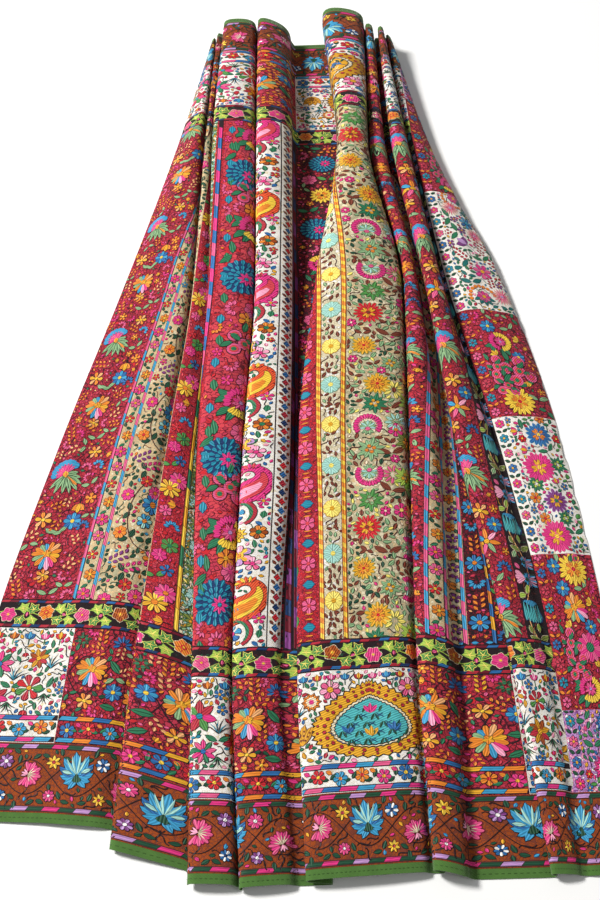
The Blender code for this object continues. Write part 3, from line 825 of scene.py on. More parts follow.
def follow_folds(flat, faces, tags):
    """Halves every edge that spans too much of the cloth, until none does. New points take an end's tags."""
    while True:
        ends = np.sort(np.concatenate([faces[:, (0, 1)], faces[:, (1, 2)], faces[:, (2, 0)]]), axis=1)
        edges, own = np.unique(ends[:, 0] * len(flat) + ends[:, 1], return_inverse=True)
        start, stop = np.divmod(edges, len(flat))
        wide = (np.abs(flat[start] - flat[stop]) > SPAN).any(axis=1)
        if not wide.any():
            return flat, faces, tags
        new = np.where(wide, len(flat) + np.cumsum(wide) - 1, -1)
        flat = np.concatenate([flat, (flat[start[wide]] + flat[stop[wide]]) / 2])
        tags = np.concatenate([tags, tags[start[wide]]])
        halves = new[own.ravel()].reshape(3, -1)
        parts = [faces[(halves < 0).all(axis=0)]]
        every = (halves >= 0).all(axis=0)
        (a, b, c), (ab, bc, ca) = faces[every].T, halves[:, every]
        parts += [np.stack(part, axis=-1) for part in ((a, ab, ca), (ab, b, bc), (ca, bc, c), (ab, bc, ca))]
        for turn in range(3):
            split = np.roll(halves, -turn, axis=0)
            for pattern in ((True, False, False), (True, True, False)):
                hit = ((split >= 0).T == pattern).all(axis=1)
                a, b, c = np.roll(faces[hit], -turn, axis=1).T
                ab, bc, _ = split[:, hit]
                if pattern[1]:
                    pieces = ((ab, b, bc), (a, ab, bc), (a, bc, c))
                else:
                    pieces = ((a, ab, c), (ab, b, c))
                parts += [np.stack(piece, axis=-1) for piece in pieces]
        faces = np.concatenate(parts)


def ribbon(line, width):
    """A stem or line of even width along some points. width may be one number or one for each."""
    line = np.asarray(line, dtype=float)
    run = np.gradient(line, axis=0)
    run /= np.linalg.norm(run, axis=1, keepdims=True) + 1e-9
    side = np.stack([-run[:, 1], run[:, 0]], axis=-1) * np.reshape(width, (-1, 1)) / 2
    points = np.concatenate([line + side, line - side])
    n = len(line)
    faces = []
    for k in range(n - 1):
        faces.append((k + n, k + n + 1, k + 1))
        faces.append((k + n, k + 1, k))
    heading = math.degrees(math.atan2(line[-1, 1] - line[0, 1], line[-1, 0] - line[0, 0]))
    return points, np.array(faces), heading


class Motif:
    """Shapes about their own centre, each with a layer and a thread."""

    def __init__(self):
        self.shapes = []

    def add(self, shape, thread, layer=1):
        self.shapes.append((shape, thread, layer))
        return self

    def edged_blade(self, thread, length, width, angle=90.0, at=(0.0, 0.0), form="leaf", bend=0.0, layer=1,
                    edge="ink", reach=OUTLINE_REACH):
        """A blade over a larger one that shows as its outline."""
        back = math.radians(angle - bend / 2)
        foot = (at[0] - math.cos(back) * reach, at[1] - math.sin(back) * reach)
        self.add(blade(length + 2 * reach, width + 2 * reach, angle, foot, form, bend), edge, layer - 1)
        return self.add(blade(length, width, angle, at, form, bend), thread, layer)

    def edged_disc(self, thread, radius, at=(0.0, 0.0), sides=8, wave=0.0, waves=5, layer=1, edge="ink",
                   reach=OUTLINE_REACH):
        """A spot over a larger one that shows as its outline."""
        self.add(disc(radius + reach, at, sides, wave, waves), edge, layer - 1)
        return self.add(disc(radius, at, sides, wave, waves), thread, layer)

    def join(self, other, at=(0.0, 0.0), turn=0.0, scale=1.0):
        """Takes in the shapes of another motif."""
        c = math.cos(math.radians(turn)) * scale
        s = math.sin(math.radians(turn)) * scale
        for (points, faces, angle), thread, layer in other.shapes:
            moved = points @ np.array([[c, s], [-s, c]]) + at
            self.shapes.append(((moved, faces, angle + turn), thread, layer))
        return self


class Needlework:
    """Motifs laid on one part of the cloth, as joined meshes, one for each layer."""

    def __init__(self, name):
        self.name = name
        self.layers = [[] for _ in LIFTS]
        self.window = (0.0, WIDTH, 0.0, LENGTH)
        self.stretch = 1.0
        self.taken = np.zeros(CELLS, dtype=bool)

    def put(self, motif, across, along_cloth, turn=0.0, scale=1.0):
        """Sets a motif at a place, cut off at the window's edges."""
        c = math.cos(math.radians(turn)) * scale
        s = math.sin(math.radians(turn)) * scale
        matrix = np.array([[c, s * self.stretch], [-s, c * self.stretch]])
        w0, w1, s0, s1 = self.window
        for order, ((points, faces, angle), thread, layer) in enumerate(motif.shapes):
            moved = points @ matrix + (across, along_cloth)
            moved[:, 0] = np.clip(moved[:, 0], w0, w1)
            moved[:, 1] = np.clip(moved[:, 1], s0, s1)
            dye = (*THREADS[thread], 1.0, math.radians(angle + turn), min(order, OVERLAPS) * OVERLAP)
            self.layers[layer].append((moved, faces, dye))
            if layer <= 1:
                corners = np.maximum(moved[faces], 0)
                for low, high in zip(corners.min(axis=1).astype(int), corners.max(axis=1).astype(int) + 1):
                    self.taken[low[0]:high[0], low[1]:high[1]] = True

    def draw(self, shape, thread, layer):
        """A shape already at its place on the cloth."""
        stretch, self.stretch = self.stretch, 1.0
        self.put(Motif().add(shape, thread, layer), 0, 0)
        self.stretch = stretch

    def free(self, across, along_cloth, reach):
        """Whether nothing is stitched yet within reach of a place."""
        w0, w1, s0, s1 = self.window
        inset = reach * 0.6
        if not (w0 + inset < across < w1 - inset and s0 + inset < along_cloth < s1 - inset):
            return False
        a = int(max(across - reach, 0))
        b = int(max(along_cloth - reach, 0))
        return not self.taken[a:int(across + reach) + 1, b:int(along_cloth + reach) + 1].any()

    def fill(self, makers, reach, tries, seed, turns=(0, 360)):
        """Sets small motifs wherever there is still room, in a seeded random order."""
        dice = np.random.default_rng(seed)
        w0, w1, s0, s1 = self.window
        for _ in range(tries):
            across = dice.uniform(w0, w1)
            along_cloth = dice.uniform(s0, s1)
            pick = int(dice.integers(len(makers)))
            turn = dice.uniform(*turns)
            size = dice.uniform(0.85, 1.15)
            if self.free(across, along_cloth, reach * size):
                self.put(makers[pick], across, along_cloth, turn, size)

    def lay(self):
        """Builds the meshes."""
        for layer, shapes in enumerate(self.layers):
            if not shapes:
                continue
            counts = [len(points) for points, _, _ in shapes]
            starts = np.concatenate(([0], np.cumsum(counts)[:-1]))
            flat = np.concatenate([points for points, _, _ in shapes]) * MM
            faces = np.concatenate([faces + start for (_, faces, _), start in zip(shapes, starts)])
            first, second, third = (flat[faces[:, k]] for k in range(3))
            edge_a = second - first
            edge_b = third - first
            area = np.abs(edge_a[:, 0] * edge_b[:, 1] - edge_a[:, 1] * edge_b[:, 0])
            flat, faces, dyes = follow_folds(
                flat, faces[area > SLIVER], np.repeat([dye for _, _, dye in shapes], counts, axis=0))
            turn = dyes[:, 4]
            stitch = np.stack([
                flat[:, 0] * np.cos(turn) + flat[:, 1] * np.sin(turn),
                -flat[:, 0] * np.sin(turn) + flat[:, 1] * np.cos(turn)], axis=-1)
            points = CLOTH.on(flat[:, 0], flat[:, 1], LIFTS[layer] + dyes[:, 5:])
            loops = faces.ravel()
            low = flat.min(axis=0)
            share = (flat - low) / (flat.max(axis=0) - low)
            piece = build_mesh(
                f"{self.name}_{LAYER_NAMES[layer]}", points, loops, np.full(len(faces), 3),
                {"stitch": stitch[loops], "OFBake": share[loops] * NEEDLEWORK_BAKE[0] + NEEDLEWORK_BAKE[1]},
                [OUTLINE if layer == 0 else SILK], colours=dyes[:, :4])
            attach(piece, "root")


# Motifs

def curve(corners, count):
    """A smooth run of (across, along, width) through some corners."""
    corners = np.array(corners, dtype=float)
    padded = np.concatenate([[2 * corners[0] - corners[1]], corners, [2 * corners[-1] - corners[-2]]])
    out = []
    for place in np.linspace(0, len(corners) - 1.001, count):
        k = int(place)
        t = place - k
        a, b, c, d = padded[k:k + 4]
        square = a - 2.5 * b + 2 * c - d / 2
        cube = 1.5 * (b - c) + (d - a) / 2
        out.append(b + t * (c - a) / 2 + t * t * square + t ** 3 * cube)
    return np.array(out)


def spot(turn, reach, centre=(0.0, 0.0)):
    """The place at some reach from a centre, in the direction of turn."""
    return centre[0] + math.cos(math.radians(turn)) * reach, centre[1] + math.sin(math.radians(turn)) * reach


def daisy(petals, reach, width, threads, heart, heart_radius, form="petal", edge="ink", layer=1, start=90):
    """Even petals around a heart."""
    made = Motif()
    foot = heart_radius * 0.6
    for k in range(petals):
        turn = start + 360 * k / petals
        made.edged_blade(threads[k % len(threads)], reach - foot, width, turn, spot(turn, foot), form,
                         layer=layer, edge=edge)
    return made.edged_disc(heart, heart_radius, layer=layer + 1, edge=edge, reach=0.8)


def rosette(outer, inner, heart, waves=6):
    """A scalloped round flower with a pale edge."""
    made = Motif()
    radius = 12.5
    made.edged_disc(outer, radius, sides=waves * 4, wave=0.13, waves=waves, edge="cream", reach=1.0)
    for k in range(waves):
        turn = 360 * k / waves + 180 / waves
        made.add(blade(radius * 0.5, 1.1, turn, spot(turn, radius * 0.42), "stem"), inner, 2)
    made.add(disc(radius * 0.36, sides=9), inner, 2)
    return made.add(disc(radius * 0.18, sides=7), heart, 3)


def wheel(radius):
    """A large round flower of short strokes in rings around an off-centre star."""
    made = Motif()
    made.add(disc(radius * 0.98, sides=20), "navy", 0)
    for count, reach, length in ((18, 0.68, 0.34), (14, 0.40, 0.27), (9, 0.16, 0.23)):
        for k in range(count):
            turn = 360 * (k + (count % 4) / 4) / count
            made.edged_blade("teal", radius * length, radius * 0.19, turn, spot(turn, radius * reach),
                             "petal", edge="navy", reach=0.9)
    star = (radius * 0.2, -radius * 0.12)
    for k in range(8):
        made.edged_blade("magenta", radius * 0.42, radius * 0.16, 45 * k, star, "almond", layer=2,
                         edge="navy", reach=0.8)
    return made.edged_disc("teal", radius * 0.10, star, layer=3, edge="ink", reach=0.8)


def fan_flower():
    """An orange flower whose petals fan out in many colours."""
    made = Motif()
    spread = (
        (96, 21, "sky"), (66, 25, "orange"), (38, 29, "peach"), (10, 27, "orange"), (-18, 25, "gold"),
        (-44, 27, "orange"), (-66, 31, "magenta"), (-86, 34, "pink"), (-108, 32, "sky"), (-132, 29, "orange"),
        (-158, 27, "sage"), (174, 28, "orange"), (148, 25, "orange"), (122, 22, "sage"),
    )
    for turn, reach, thread in spread:
        made.edged_blade(thread, reach - 5, 9.0, turn, spot(turn, 5), "petal")
    for turn in range(0, 360, 72):
        shade = "orange" if turn % 144 else "gold"
        made.edged_blade(shade, 8.5, 6.0, turn + 20, form="almond", layer=2, reach=0.9)
    return made


def cap_flower():
    """A blue cap with pink scallops over an orange bulb, with sage leaves spreading from it."""
    made = Motif()
    leaves = ((-4, 34), (-24, 44), (-44, 48), (-64, 46), (-84, 44), (-106, 46), (-130, 42), (22, 27))
    for turn, reach in leaves:
        bend = -16 if turn > -90 else 16
        made.edged_blade("sage", reach, 10.5, turn, (0, -2), "leaf", bend)
        made.add(blade(reach * 0.72, 1.3, turn, (0, -2), "stem", bend), "forest", 2)
    made.edged_blade("orange", 34, 6.5, -34, (1, -3), "petal")
    for k, turn in enumerate(range(60, 201, 20)):
        made.edged_blade("magenta" if k % 2 else "rose", 25, 9.0, turn, (0, 2), "petal")
    for turn in range(48, 200, 21):
        made.edged_disc("sky", 7.4, spot(turn, 25, (-2, 4)), 8, layer=2, edge="blue", reach=0.9)
        made.add(disc(2.0, spot(turn, 20, (-2, 4)), 6), "magenta", 3)
    made.edged_blade("gold", 17, 12, 110, (2, -8), "almond", layer=2)
    return made.edged_blade("orange", 11, 5.4, 110, (2, -6), "almond", layer=3, reach=0.4)


def sun_flower():
    """A saw-toothed yellow half ring about a pink heart, with a pink fringe and hooked leaves."""
    made = Motif()
    leaves = ((150, -60, (-12, 8)), (205, 60, (-14, 6)), (250, -50, (-10, -10)), (215, 50, (-12, -12)))
    for turn, bend, at in leaves:
        made.edged_blade("green", 24, 11, turn, at, "leaf", bend)
    for turn in range(60, 200, 17):
        made.edged_blade("magenta", 12, 7.4, turn, spot(turn, 13), "almond", edge="wine")
    for turn in range(-130, 70, 17):
        made.edged_blade("yellow", 12, 7.4, turn, spot(turn, 12), "petal", edge="umber")
    for turn in range(-120, 240, 40):
        shade = "rose" if turn % 80 else "magenta"
        made.edged_blade(shade, 13, 5.6, turn, form="almond", layer=2, edge="wine", reach=0.8)
    return made.edged_disc("lilac", 3.0, layer=3, edge="wine", reach=0.7)


def ring_cluster():
    """Five rings heaped among hooked leaves."""
    made = Motif()
    for at in ((-14, 13), (13, 15), (-13, -12), (14, -14), (2, 0)):
        made.edged_disc("rose", 10.2, at, 12)
        made.add(disc(6.8, at, 10), "coral", 2)
        made.edged_disc("green" if at[0] < 10 else "magenta", 3.6, at, 8, layer=3, edge="leaf", reach=0.5)
    for turn, at in ((140, (-6, 4)), (20, (2, 6)), (205, (-16, 0)), (330, (6, -4)), (80, (-2, 22))):
        made.edged_blade("green", 19, 9.0, turn, at, "leaf", 25, layer=2)
    return made


def hooked_paisley(rim, band, core, drop):
    """A large mango in bands, cut off on its left, with a hooked and feathered tip."""
    made = Motif()
    body = curve(((-46, -20, 48), (-20, -19, 47), (6, -10, 44), (20, 7, 34), (20, 23, 22), (11, 33, 14),
                  (-1, 35, 10), (-9, 31, 8), (-12, 24, 3)), 30)
    bands = (
        (3.2, "umber", 0, 30), (0, rim, 1, 30), (-11, "umber", 1, 17), (-13, band, 2, 16), (-25, core, 3, 11),
    )
    for girth, thread, layer, stop in bands:
        part = body[:stop]
        taper = np.linspace(1, 0.1, stop) ** 0.3 if girth < 0 else 1.0
        made.add(ribbon(part[:, :2], np.maximum(part[:, 2] + girth, 1.0) * taper), thread, layer)
    made.edged_blade(drop, 26, 9, 12, (-34, -20), "drop", layer=3, reach=1.6, edge=rim)
    for k in range(6):
        shade = rim if k % 2 else band
        made.edged_blade(shade, 12, 5.4, 175 - 24 * k, (-6 + 3 * k, 34), "almond", layer=2, reach=0.9)
    for k in range(2, 22, 2):
        across = np.array((body[k + 1, 1] - body[k, 1], body[k, 0] - body[k + 1, 0]))
        across /= np.linalg.norm(across)
        made.add(disc(1.5, body[k, :2] + across * (body[k, 2] / 2 - 3.2), 5), "wine", 2)
    return made


def crook():
    """A two-coloured hook around a small blue flower."""
    made = Motif()
    turn = np.radians(np.linspace(-62, 165, 14))
    hook = np.stack([np.cos(turn) * 23, np.sin(turn) * 25], axis=-1)
    girth = np.interp(np.linspace(0, 1, 14), (0, 0.3, 1), (4, 10, 5))
    made.add(ribbon(hook, girth + 2.6), "ink", 0)
    made.add(ribbon(hook, girth), "crimson", 1)
    made.add(ribbon(hook[1:11] * 0.86, girth[1:11] * 0.55), "green", 2)
    return made.join(daisy(5, 14, 10, ("sky", "blue"), "magenta", 4.2, "drop", "navy"), (-4, 0))


def crescent():
    """A thick ring open below, with pale petals in its heart."""
    made = Motif()
    turn = np.radians(np.linspace(-38, 218, 20))
    ring = np.stack([np.cos(turn) * 18, np.sin(turn) * 18], axis=-1)
    made.add(ribbon(ring, 15.5), "cream", 0)
    made.add(disc(15, (0, -2), 14, 0.10, 7), "cream", 1)
    for angle in np.linspace(-32, 212, 17):
        foot = spot(angle, 13.2)
        made.edged_blade("magenta", 9.6, 5.4, angle, foot, "petal", layer=2, edge="wine", reach=0.7)
    for k in range(9):
        shade = "sage" if k % 2 else "aqua"
        made.edged_blade(shade, 12.5, 3.8, -15 + 26 * k, (0, -3), "petal", layer=2, edge="forest", reach=0.7)
    for k in range(4):
        made.edged_blade("sage", 12, 4.6, -40 - 33 * k, (0, -7), "leaf", layer=2, edge="forest", reach=0.8)
    return made.edged_disc("rose", 3.8, (0, -7), layer=3, edge="wine", reach=0.9)


def double_flower(outer, inner, heart, radius, petals=15, edge="umber"):
    """Two rings of thin petals, the outer ones uneven."""
    made = Motif().add(disc(radius * 0.78, sides=20), edge, 0).add(disc(radius * 0.72, sides=20), outer, 1)
    made.add(disc(radius * 0.36, sides=14), inner, 2)
    for k in range(petals):
        turn = 360 * k / petals
        uneven = 1.0 + 0.09 * math.sin(2.4 * k)
        made.edged_blade(outer, radius * 0.6 * uneven, radius * 0.26, turn, spot(turn, radius * 0.4),
                         "almond" if k % 3 else "petal", edge=edge, reach=0.9)
    for k in range(11):
        turn = 360 * k / 11
        made.edged_blade(inner if k % 3 else outer, radius * 0.36, radius * 0.17, turn,
                         spot(turn, radius * 0.16), "petal", layer=2, edge="brown", reach=0.8)
    return made.edged_disc(heart, radius * 0.15, layer=3, edge=outer, reach=1.4)


def leaf_pair(thread, length=15.0, width=7.0, edge="ink"):
    """Two leaves that spread from one foot."""
    made = Motif()
    for side in (1, -1):
        foot = (side * 1.4, 0)
        made.edged_blade(thread, length, width, 90 - side * 62, foot, "leaf", side * 20, edge=edge, reach=1.0)
    return made


def bud_spray(thread, count=6, edge="wine", length=8.0):
    """Almond buds in two rows up a stem."""
    made = Motif()
    for k in range(count):
        side = 1 if k % 2 else -1
        foot = (side * 2.2, -10 + 4.4 * k)
        made.edged_blade(thread, length, 4.6, 90 - side * 40, foot, "almond", edge=edge, reach=0.9)
    return made


def bud_cluster(thread, count=6, edge="navy", length=8.0):
    """Almond buds fanned out around one foot."""
    made = Motif()
    for k in range(count):
        turn = 90 + (k - (count - 1) / 2) * 36
        made.edged_blade(thread, length, 4.8, turn, spot(turn, 4.4, (0, -4)), "almond", edge=edge, reach=0.9)
    return made


def small_bloom(thread, heart, petals=5, reach=9.0, edge="ink"):
    """Rounded petals around a small heart."""
    made = Motif()
    for k in range(petals):
        turn = 90 + 360 * k / petals
        made.edged_blade(thread, reach, reach * 0.66, turn, form="drop", edge=edge, reach=0.9)
    return made.edged_disc(heart, reach * 0.26, sides=7, layer=2, edge=edge, reach=0.4)


def curl(thread, size=1.0, width=1.4):
    """A dark S-shaped stem."""
    t = np.linspace(-1, 1, 7)
    stem = np.stack([np.sin(t * 2.4) * 4.4 * size, t * 9.0 * size], axis=-1)
    return Motif().add(ribbon(stem, width), thread, 1)


def seed_bud(thread, edge, length=7.4, width=4.4):
    """One almond bud."""
    return Motif().edged_blade(thread, length, width, 90, (0, -length / 2), "almond", edge=edge, reach=0.9)


def buds(*rows):
    """Single buds, each given as seed_bud takes it."""
    return [seed_bud(*row) for row in rows]


def tulip(outer, inner, stem, size=1.5):
    """Two outer petals bent around an inner one, on a stem."""
    made = Motif()
    for side in (1, -1):
        turn = 90 + side * 42
        made.edged_blade(outer, 9 * size, 5.0 * size, turn, form="almond", bend=side * 34, reach=0.9)
    made.edged_blade(inner, 9.5 * size, 4.8 * size, 90, form="almond", layer=2, reach=0.6)
    return made.add(blade(7 * size, 1.6, -90, form="stem"), stem, 1)


def bush(leaf, bloom, reach, leaves=11):
    """Leaves all around a few small blooms."""
    made = Motif()
    for k in range(leaves):
        turn = 360 * k / leaves + 12
        length = reach * (0.78 if k % 2 else 1.0) - 5
        made.edged_blade(leaf, length, reach * 0.30, turn, spot(turn, 5), "leaf", edge="forest", reach=0.8)
    for k in range(4):
        made.edged_disc(bloom, 3.0, spot(90 * k + 20, 6), 6, layer=2, edge="brown", reach=0.7)
    return made


def ivy(thread):
    """A lobed ivy leaf with pale edges and veins."""
    reaches = (13.5, 7.6, 11.5, 7.2, 9.6, 5.4, 4.4, 5.4, 9.6, 7.2, 11.5, 7.6)
    rim = np.array([spot(90 + 30 * k, reach) for k, reach in enumerate(reaches)])
    made = Motif()
    made.add(filled(rim * 1.14), "lemon" if thread == "leaf" else "forest", 0)
    made.add(filled(rim), thread, 1)
    for turn, reach in ((90, 11), (30, 9), (150, 9), (-30, 7), (210, 7)):
        made.add(blade(reach, 1.3, turn, form="spike"), "lemon", 2)
    return made


def lotus_fan(pale, size):
    """Petals in a cup, with pale strokes between them, on a smaller spread below."""
    made = Motif()
    foot = (0, -2 * size)
    cup = ((8, 22, 40), (172, 22, -40), (34, 27, 34), (146, 27, -34), (58, 31, 20), (122, 31, -20))
    for turn, reach, bend in cup:
        shade = "blue" if reach == 27 else "sky"
        made.edged_blade(shade, reach * size, 10.5 * size, turn, foot, "leaf", bend)
    made.edged_blade("sky", 31 * size, 12.5 * size)
    for turn, bend in ((62, 26), (118, -26), (78, 12), (102, -12)):
        made.add(blade(27 * size, 3.0 * size, turn, form="almond", bend=bend), pale, 2)
    for turn, bend in ((205, -30), (235, -16), (305, 16), (335, 30)):
        made.edged_blade("sky", 19 * size, 8.8 * size, turn, foot, "leaf", bend)
    for turn in (20, 160):
        foot = spot(turn, 6 * size)
        made.edged_blade(pale, 14 * size, 5.0 * size, turn, foot, "almond", layer=2, reach=0.9)
    return made.edged_blade("forest", 12 * size, 13 * size, -90, (0, 2 * size), "drop", layer=2)


def carnation(outer, inner, heart, size):
    """A half-round flower of long strokes over pale stamens."""
    made = Motif()
    for k, turn in enumerate(range(-24, 206, 19)):
        shade, length = (outer, 15) if k % 2 else ("rose", 18)
        made.edged_blade(shade, length * size, 6.4 * size, turn, spot(turn, 6 * size), "petal", edge="wine")
    for turn in (30, 54, 78, 102, 126, 150):
        made.add(blade(16 * size, 1.8 * size, turn, form="almond"), inner, 2)
    for turn in (232, 262, 292):
        made.edged_blade(heart, 13 * size, 3.6 * size, turn, form="almond")
    return made


def jagged_flower(outer, middle, heart, radius, points):
    """A flower with saw-toothed rings."""
    made = Motif()
    turn = np.arange(points * 2) / (points * 2) * 2 * np.pi
    rings = ((1.0, "ink", 0), (1.0 - 1.6 / radius, outer, 1), (0.60, middle, 2), (0.28, heart, 3))
    for share, thread, layer in rings:
        reach = radius * share * np.where(np.arange(points * 2) % 2, 0.72, 1.0)
        made.add(filled(np.stack([np.cos(turn) * reach, np.sin(turn) * reach], axis=-1)), thread, layer)
    for k in range(points):
        angle = 360 * k / points
        made.add(blade(radius * 0.42, 1.4, angle, spot(angle, radius * 0.52), "spike"), "ink", 2)
    return made


def great_paisley(rim, ground):
    """A wide pointed mango with a saw-toothed rim set with dots, around a net of small leaves."""
    made = Motif()
    count = 88
    t = np.arange(count) / count
    turn = -2 * np.pi * t
    body = np.stack([np.sin(turn) * 114 * np.sin(np.pi * t) ** 0.8, np.cos(turn) * 62], axis=-1)
    centre = np.array((0.0, -14.0))
    teeth = np.where(np.arange(count) % 2, 0.035, -0.035)[:, None]
    bands = ((1.035, "ink", 0, 1), (1.0, rim, 1, 1), (0.70, "cream", 2, 0.6), (0.62, ground, 3, 0.6))
    for share, thread, layer, tooth in bands:
        made.add(filled((body - centre) * share * (1 + tooth * teeth) + centre, centre), thread, layer)
    for share, layer in ((0.70, 2), (0.63, 3)):
        ring = (body - centre) * share * (1 + 0.6 * teeth) + centre
        made.add(ribbon(np.concatenate([ring, ring[:1]]), 1.8), "ink", layer)
    for k in range(0, count, 3):
        for share, radius in ((0.93, 1.7), (0.81, 2.8)):
            at = (body[k] - centre) * share + centre
            made.edged_disc("crimson", radius, at, 6, layer=3, edge="ink", reach=0.8)
    for row, wide in enumerate((1, 2, 3, 4, 3)):
        for column in range(-wide, wide + 1):
            at = np.array((column * 13.0, 14 - row * 13.5))
            leaf, stem = (62, 152) if (row + column) % 2 else (118, 28)
            made.add(blade(13, 4.6, leaf, at - (0, 5)), "forest", 3)
            made.add(blade(13, 1.4, stem, at - (5, 0), "stem"), "navy", 3)
    for at, shade in (((0, 8), "magenta"), ((-36, -24), "blue"), ((36, -24), "blue"), ((0, -30), "gold")):
        for angle in (50, 90, 130):
            made.edged_blade(shade, 17, 7, angle, at, "almond", layer=3, edge="navy", reach=0.9)
    return made


FAN = fan_flower()
CAP = cap_flower()
SUN = sun_flower()
RINGS = ring_cluster()
WHEEL = wheel(31)
BLUE_DAISY = daisy(8, 15, 7.4, ("sky", "blue"), "yellow", 3.6, edge="navy")
ORANGE_DAISY = daisy(6, 15, 7.6, ("orange", "gold", "peach"), "yellow", 3.2)
ORANGE_BUDS = bud_spray("orange")
PEACH_BUDS = bud_spray("peach", 5)
BLUE_BUDS = bud_cluster("sky")
DEEP_BUDS = bud_cluster("blue", 7, "ink")
SAGE_PAIR = leaf_pair("sage")
GREEN_PAIR = leaf_pair("green", 14, 6.4)
FOREST_PAIR = leaf_pair("forest", 12, 6.4)
LEAF_PAIR = leaf_pair("leaf", 15, 7.4)
STAR = tulip("orange", "gold", "ink")

# What fills the room between the larger motifs, for each ground
RED_FILL = [
    ORANGE_BUDS, PEACH_BUDS, SAGE_PAIR, bud_cluster("rose", 6, "wine"), small_bloom("orange", "yellow"),
    bud_cluster("magenta", 5, "wine"), tulip("orange", "gold", "ink", 1.1),
]
RED_TINY = [
    *buds(("ruby", "plum", 8, 5), ("rose", "plum"), ("ruby", "plum", 7, 4.6), ("ruby", "ink", 8, 5),
          ("rose", "plum", 6.4, 4), ("ruby", "plum", 8.4, 5), ("orange", "plum", 7, 4),
          ("peach", "plum", 6.4, 3.6)),
    curl("ink"), curl("plum", 0.8),
    *buds(("magenta", "plum", 7, 4.4), ("green", "ink", 8, 4.4), ("orange", "ink", 8, 4.4)),
]
CORAL_TINY = [
    *buds(("orange", "wine", 6, 3.2), ("coral", "plum", 8, 5), ("red", "wine", 8, 5), ("ruby", "plum")),
    curl("wine", 0.8),
    *buds(("ruby", "plum", 8, 5), ("red", "ink"), ("coral", "wine", 7, 4.4), ("magenta", "plum", 6, 3.4)),
]
WHITE_TINY = [
    *buds(("crimson", "ink", 9, 5), ("blue", "ink", 8, 4.4), ("green", "ink", 10, 4.8),
          ("pink", "crimson", 8, 4.6)),
    curl("ink", 0.9, 1.5), curl("forest", 0.9, 1.5), seed_bud("gold", "ink", 8, 4.4),
    leaf_pair("green", 8, 3.8), *buds(("magenta", "wine", 9, 5), ("teal", "ink", 8, 4.2)),
]
TAN_TINY = [
    *buds(("forest", "ink", 9, 5), ("magenta", "wine", 8, 5), ("sky", "ink", 8, 4.4),
          ("forest", "ink", 8, 5)),
    curl("brown", 0.9), curl("forest", 0.8), seed_bud("red", "ink", 8, 4.6), leaf_pair("forest", 9, 4.4),
    seed_bud("orange", "brown", 8, 4.4),
]
KHAKI_TINY = [
    seed_bud("brown", "umber", 11, 5), curl("umber", 1.0, 1.8),
    *buds(("brown", "ink", 11, 5.4), ("sage", "forest", 10, 5), ("magenta", "wine", 7, 4),
          ("lemon", "moss", 9, 4.4), ("forest", "ink", 7, 3.6)),
    curl("ink", 0.7), *buds(("cream", "brown", 7, 4), ("sage", "ink", 8, 4)),
]
BLACK_TINY = [*buds(("leaf", "forest"), ("cream", "umber", 7, 3)), curl("ochre", 0.9), curl("brown", 0.9)]
PALE_FILL = [
    leaf_pair("green", 12, 5.6), small_bloom("magenta", "yellow", 6, 8.4), small_bloom("blue", "gold", 5, 8),
    small_bloom("red", "yellow", 6, 8), leaf_pair("leaf", 12, 5.6),
]


# Layouts: where everything is stitched, in millimetres across (w) and along (s) the cloth

def dashes(work, start, end, dash, gap, width, threads):
    """A row of short slanted stitches in turn of several colours."""
    start = np.array(start, dtype=float)
    run = np.array(end, dtype=float) - start
    size = np.linalg.norm(run)
    run /= size
    side = np.array([-run[1], run[0]]) * width / 2
    slant = run * width * 0.7
    angle = math.degrees(math.atan2(run[1], run[0]))
    for k in range(int(size / (dash + gap))):
        a = start + run * k * (dash + gap)
        b = a + run * dash
        points = np.array([a - side, b - side, b + side + slant, a + side + slant])
        work.draw((points, np.array([(0, 1, 2), (0, 2, 3)]), angle), threads[k % len(threads)], 1)


def line(work, start, end, width, thread):
    """A straight line under the stitches."""
    count = max(2, int(math.dist(start, end) / 8))
    t = np.linspace(0, 1, count)[:, None]
    work.draw(ribbon(np.array(start) * (1 - t) + np.array(end) * t, width), thread, 0)


def vine(work, start, end, wave, sway, width, thread, layer=1, phase=0.0):
    """A waving stem between two places."""
    start = np.array(start, dtype=float)
    run = np.array(end, dtype=float) - start
    size = np.linalg.norm(run)
    t = np.linspace(0, 1, int(size / 4))[:, None]
    side = np.array([-run[1], run[0]]) / size
    points = start + run * t + side * np.sin(2 * np.pi * t * size / wave + phase) * sway
    work.draw(ribbon(points, width), thread, layer)


def dashed_line(work, start, end, dash, gap, width, threads, edge, rim):
    """A dashed line between thin edges, with the width over the edges as rim."""
    line(work, start, end, rim, edge)
    dashes(work, start, end, dash, gap, width, threads)


def repeat(first, step, low, high):
    """Places at a step from one another that lie between two limits."""
    k = math.ceil((low - first) / step)
    places = [first + step * n for n in range(k, k + int((high - low) / step) + 2)]
    return [place for place in places if low <= place < high]


def window(work, w0, w1, s0=FIELD_START, s1=FIELD_STOP, stretch=1.0):
    """The part of the cloth that the next motifs stay in, and how much longer they are made along it."""
    work.window = (w0, w1, s0, s1)
    work.stretch = stretch


def edge_line(work, place, threads, width=5.4, dash=26.0, gap=0.6, edge="ink", rim=None):
    """A dashed line down the whole field, between edges that show 1.2 mm to each side unless rim is given."""
    ends = (place, FIELD_START), (place, FIELD_STOP)
    dashed_line(work, *ends, dash, gap, width, threads, edge, rim or width + 2.4)


def set_rows(work, first, step, rows):
    """Sets motifs at a common step along the cloth: (motif, across, offset), then turn and size if any."""
    w0, w1, s0, s1 = work.window
    for motif, across, offset, *turn_and_size in rows:
        for s in repeat(first + offset, step, s0 - 8, s1 + 8):
            work.put(motif, across, s, *turn_and_size)


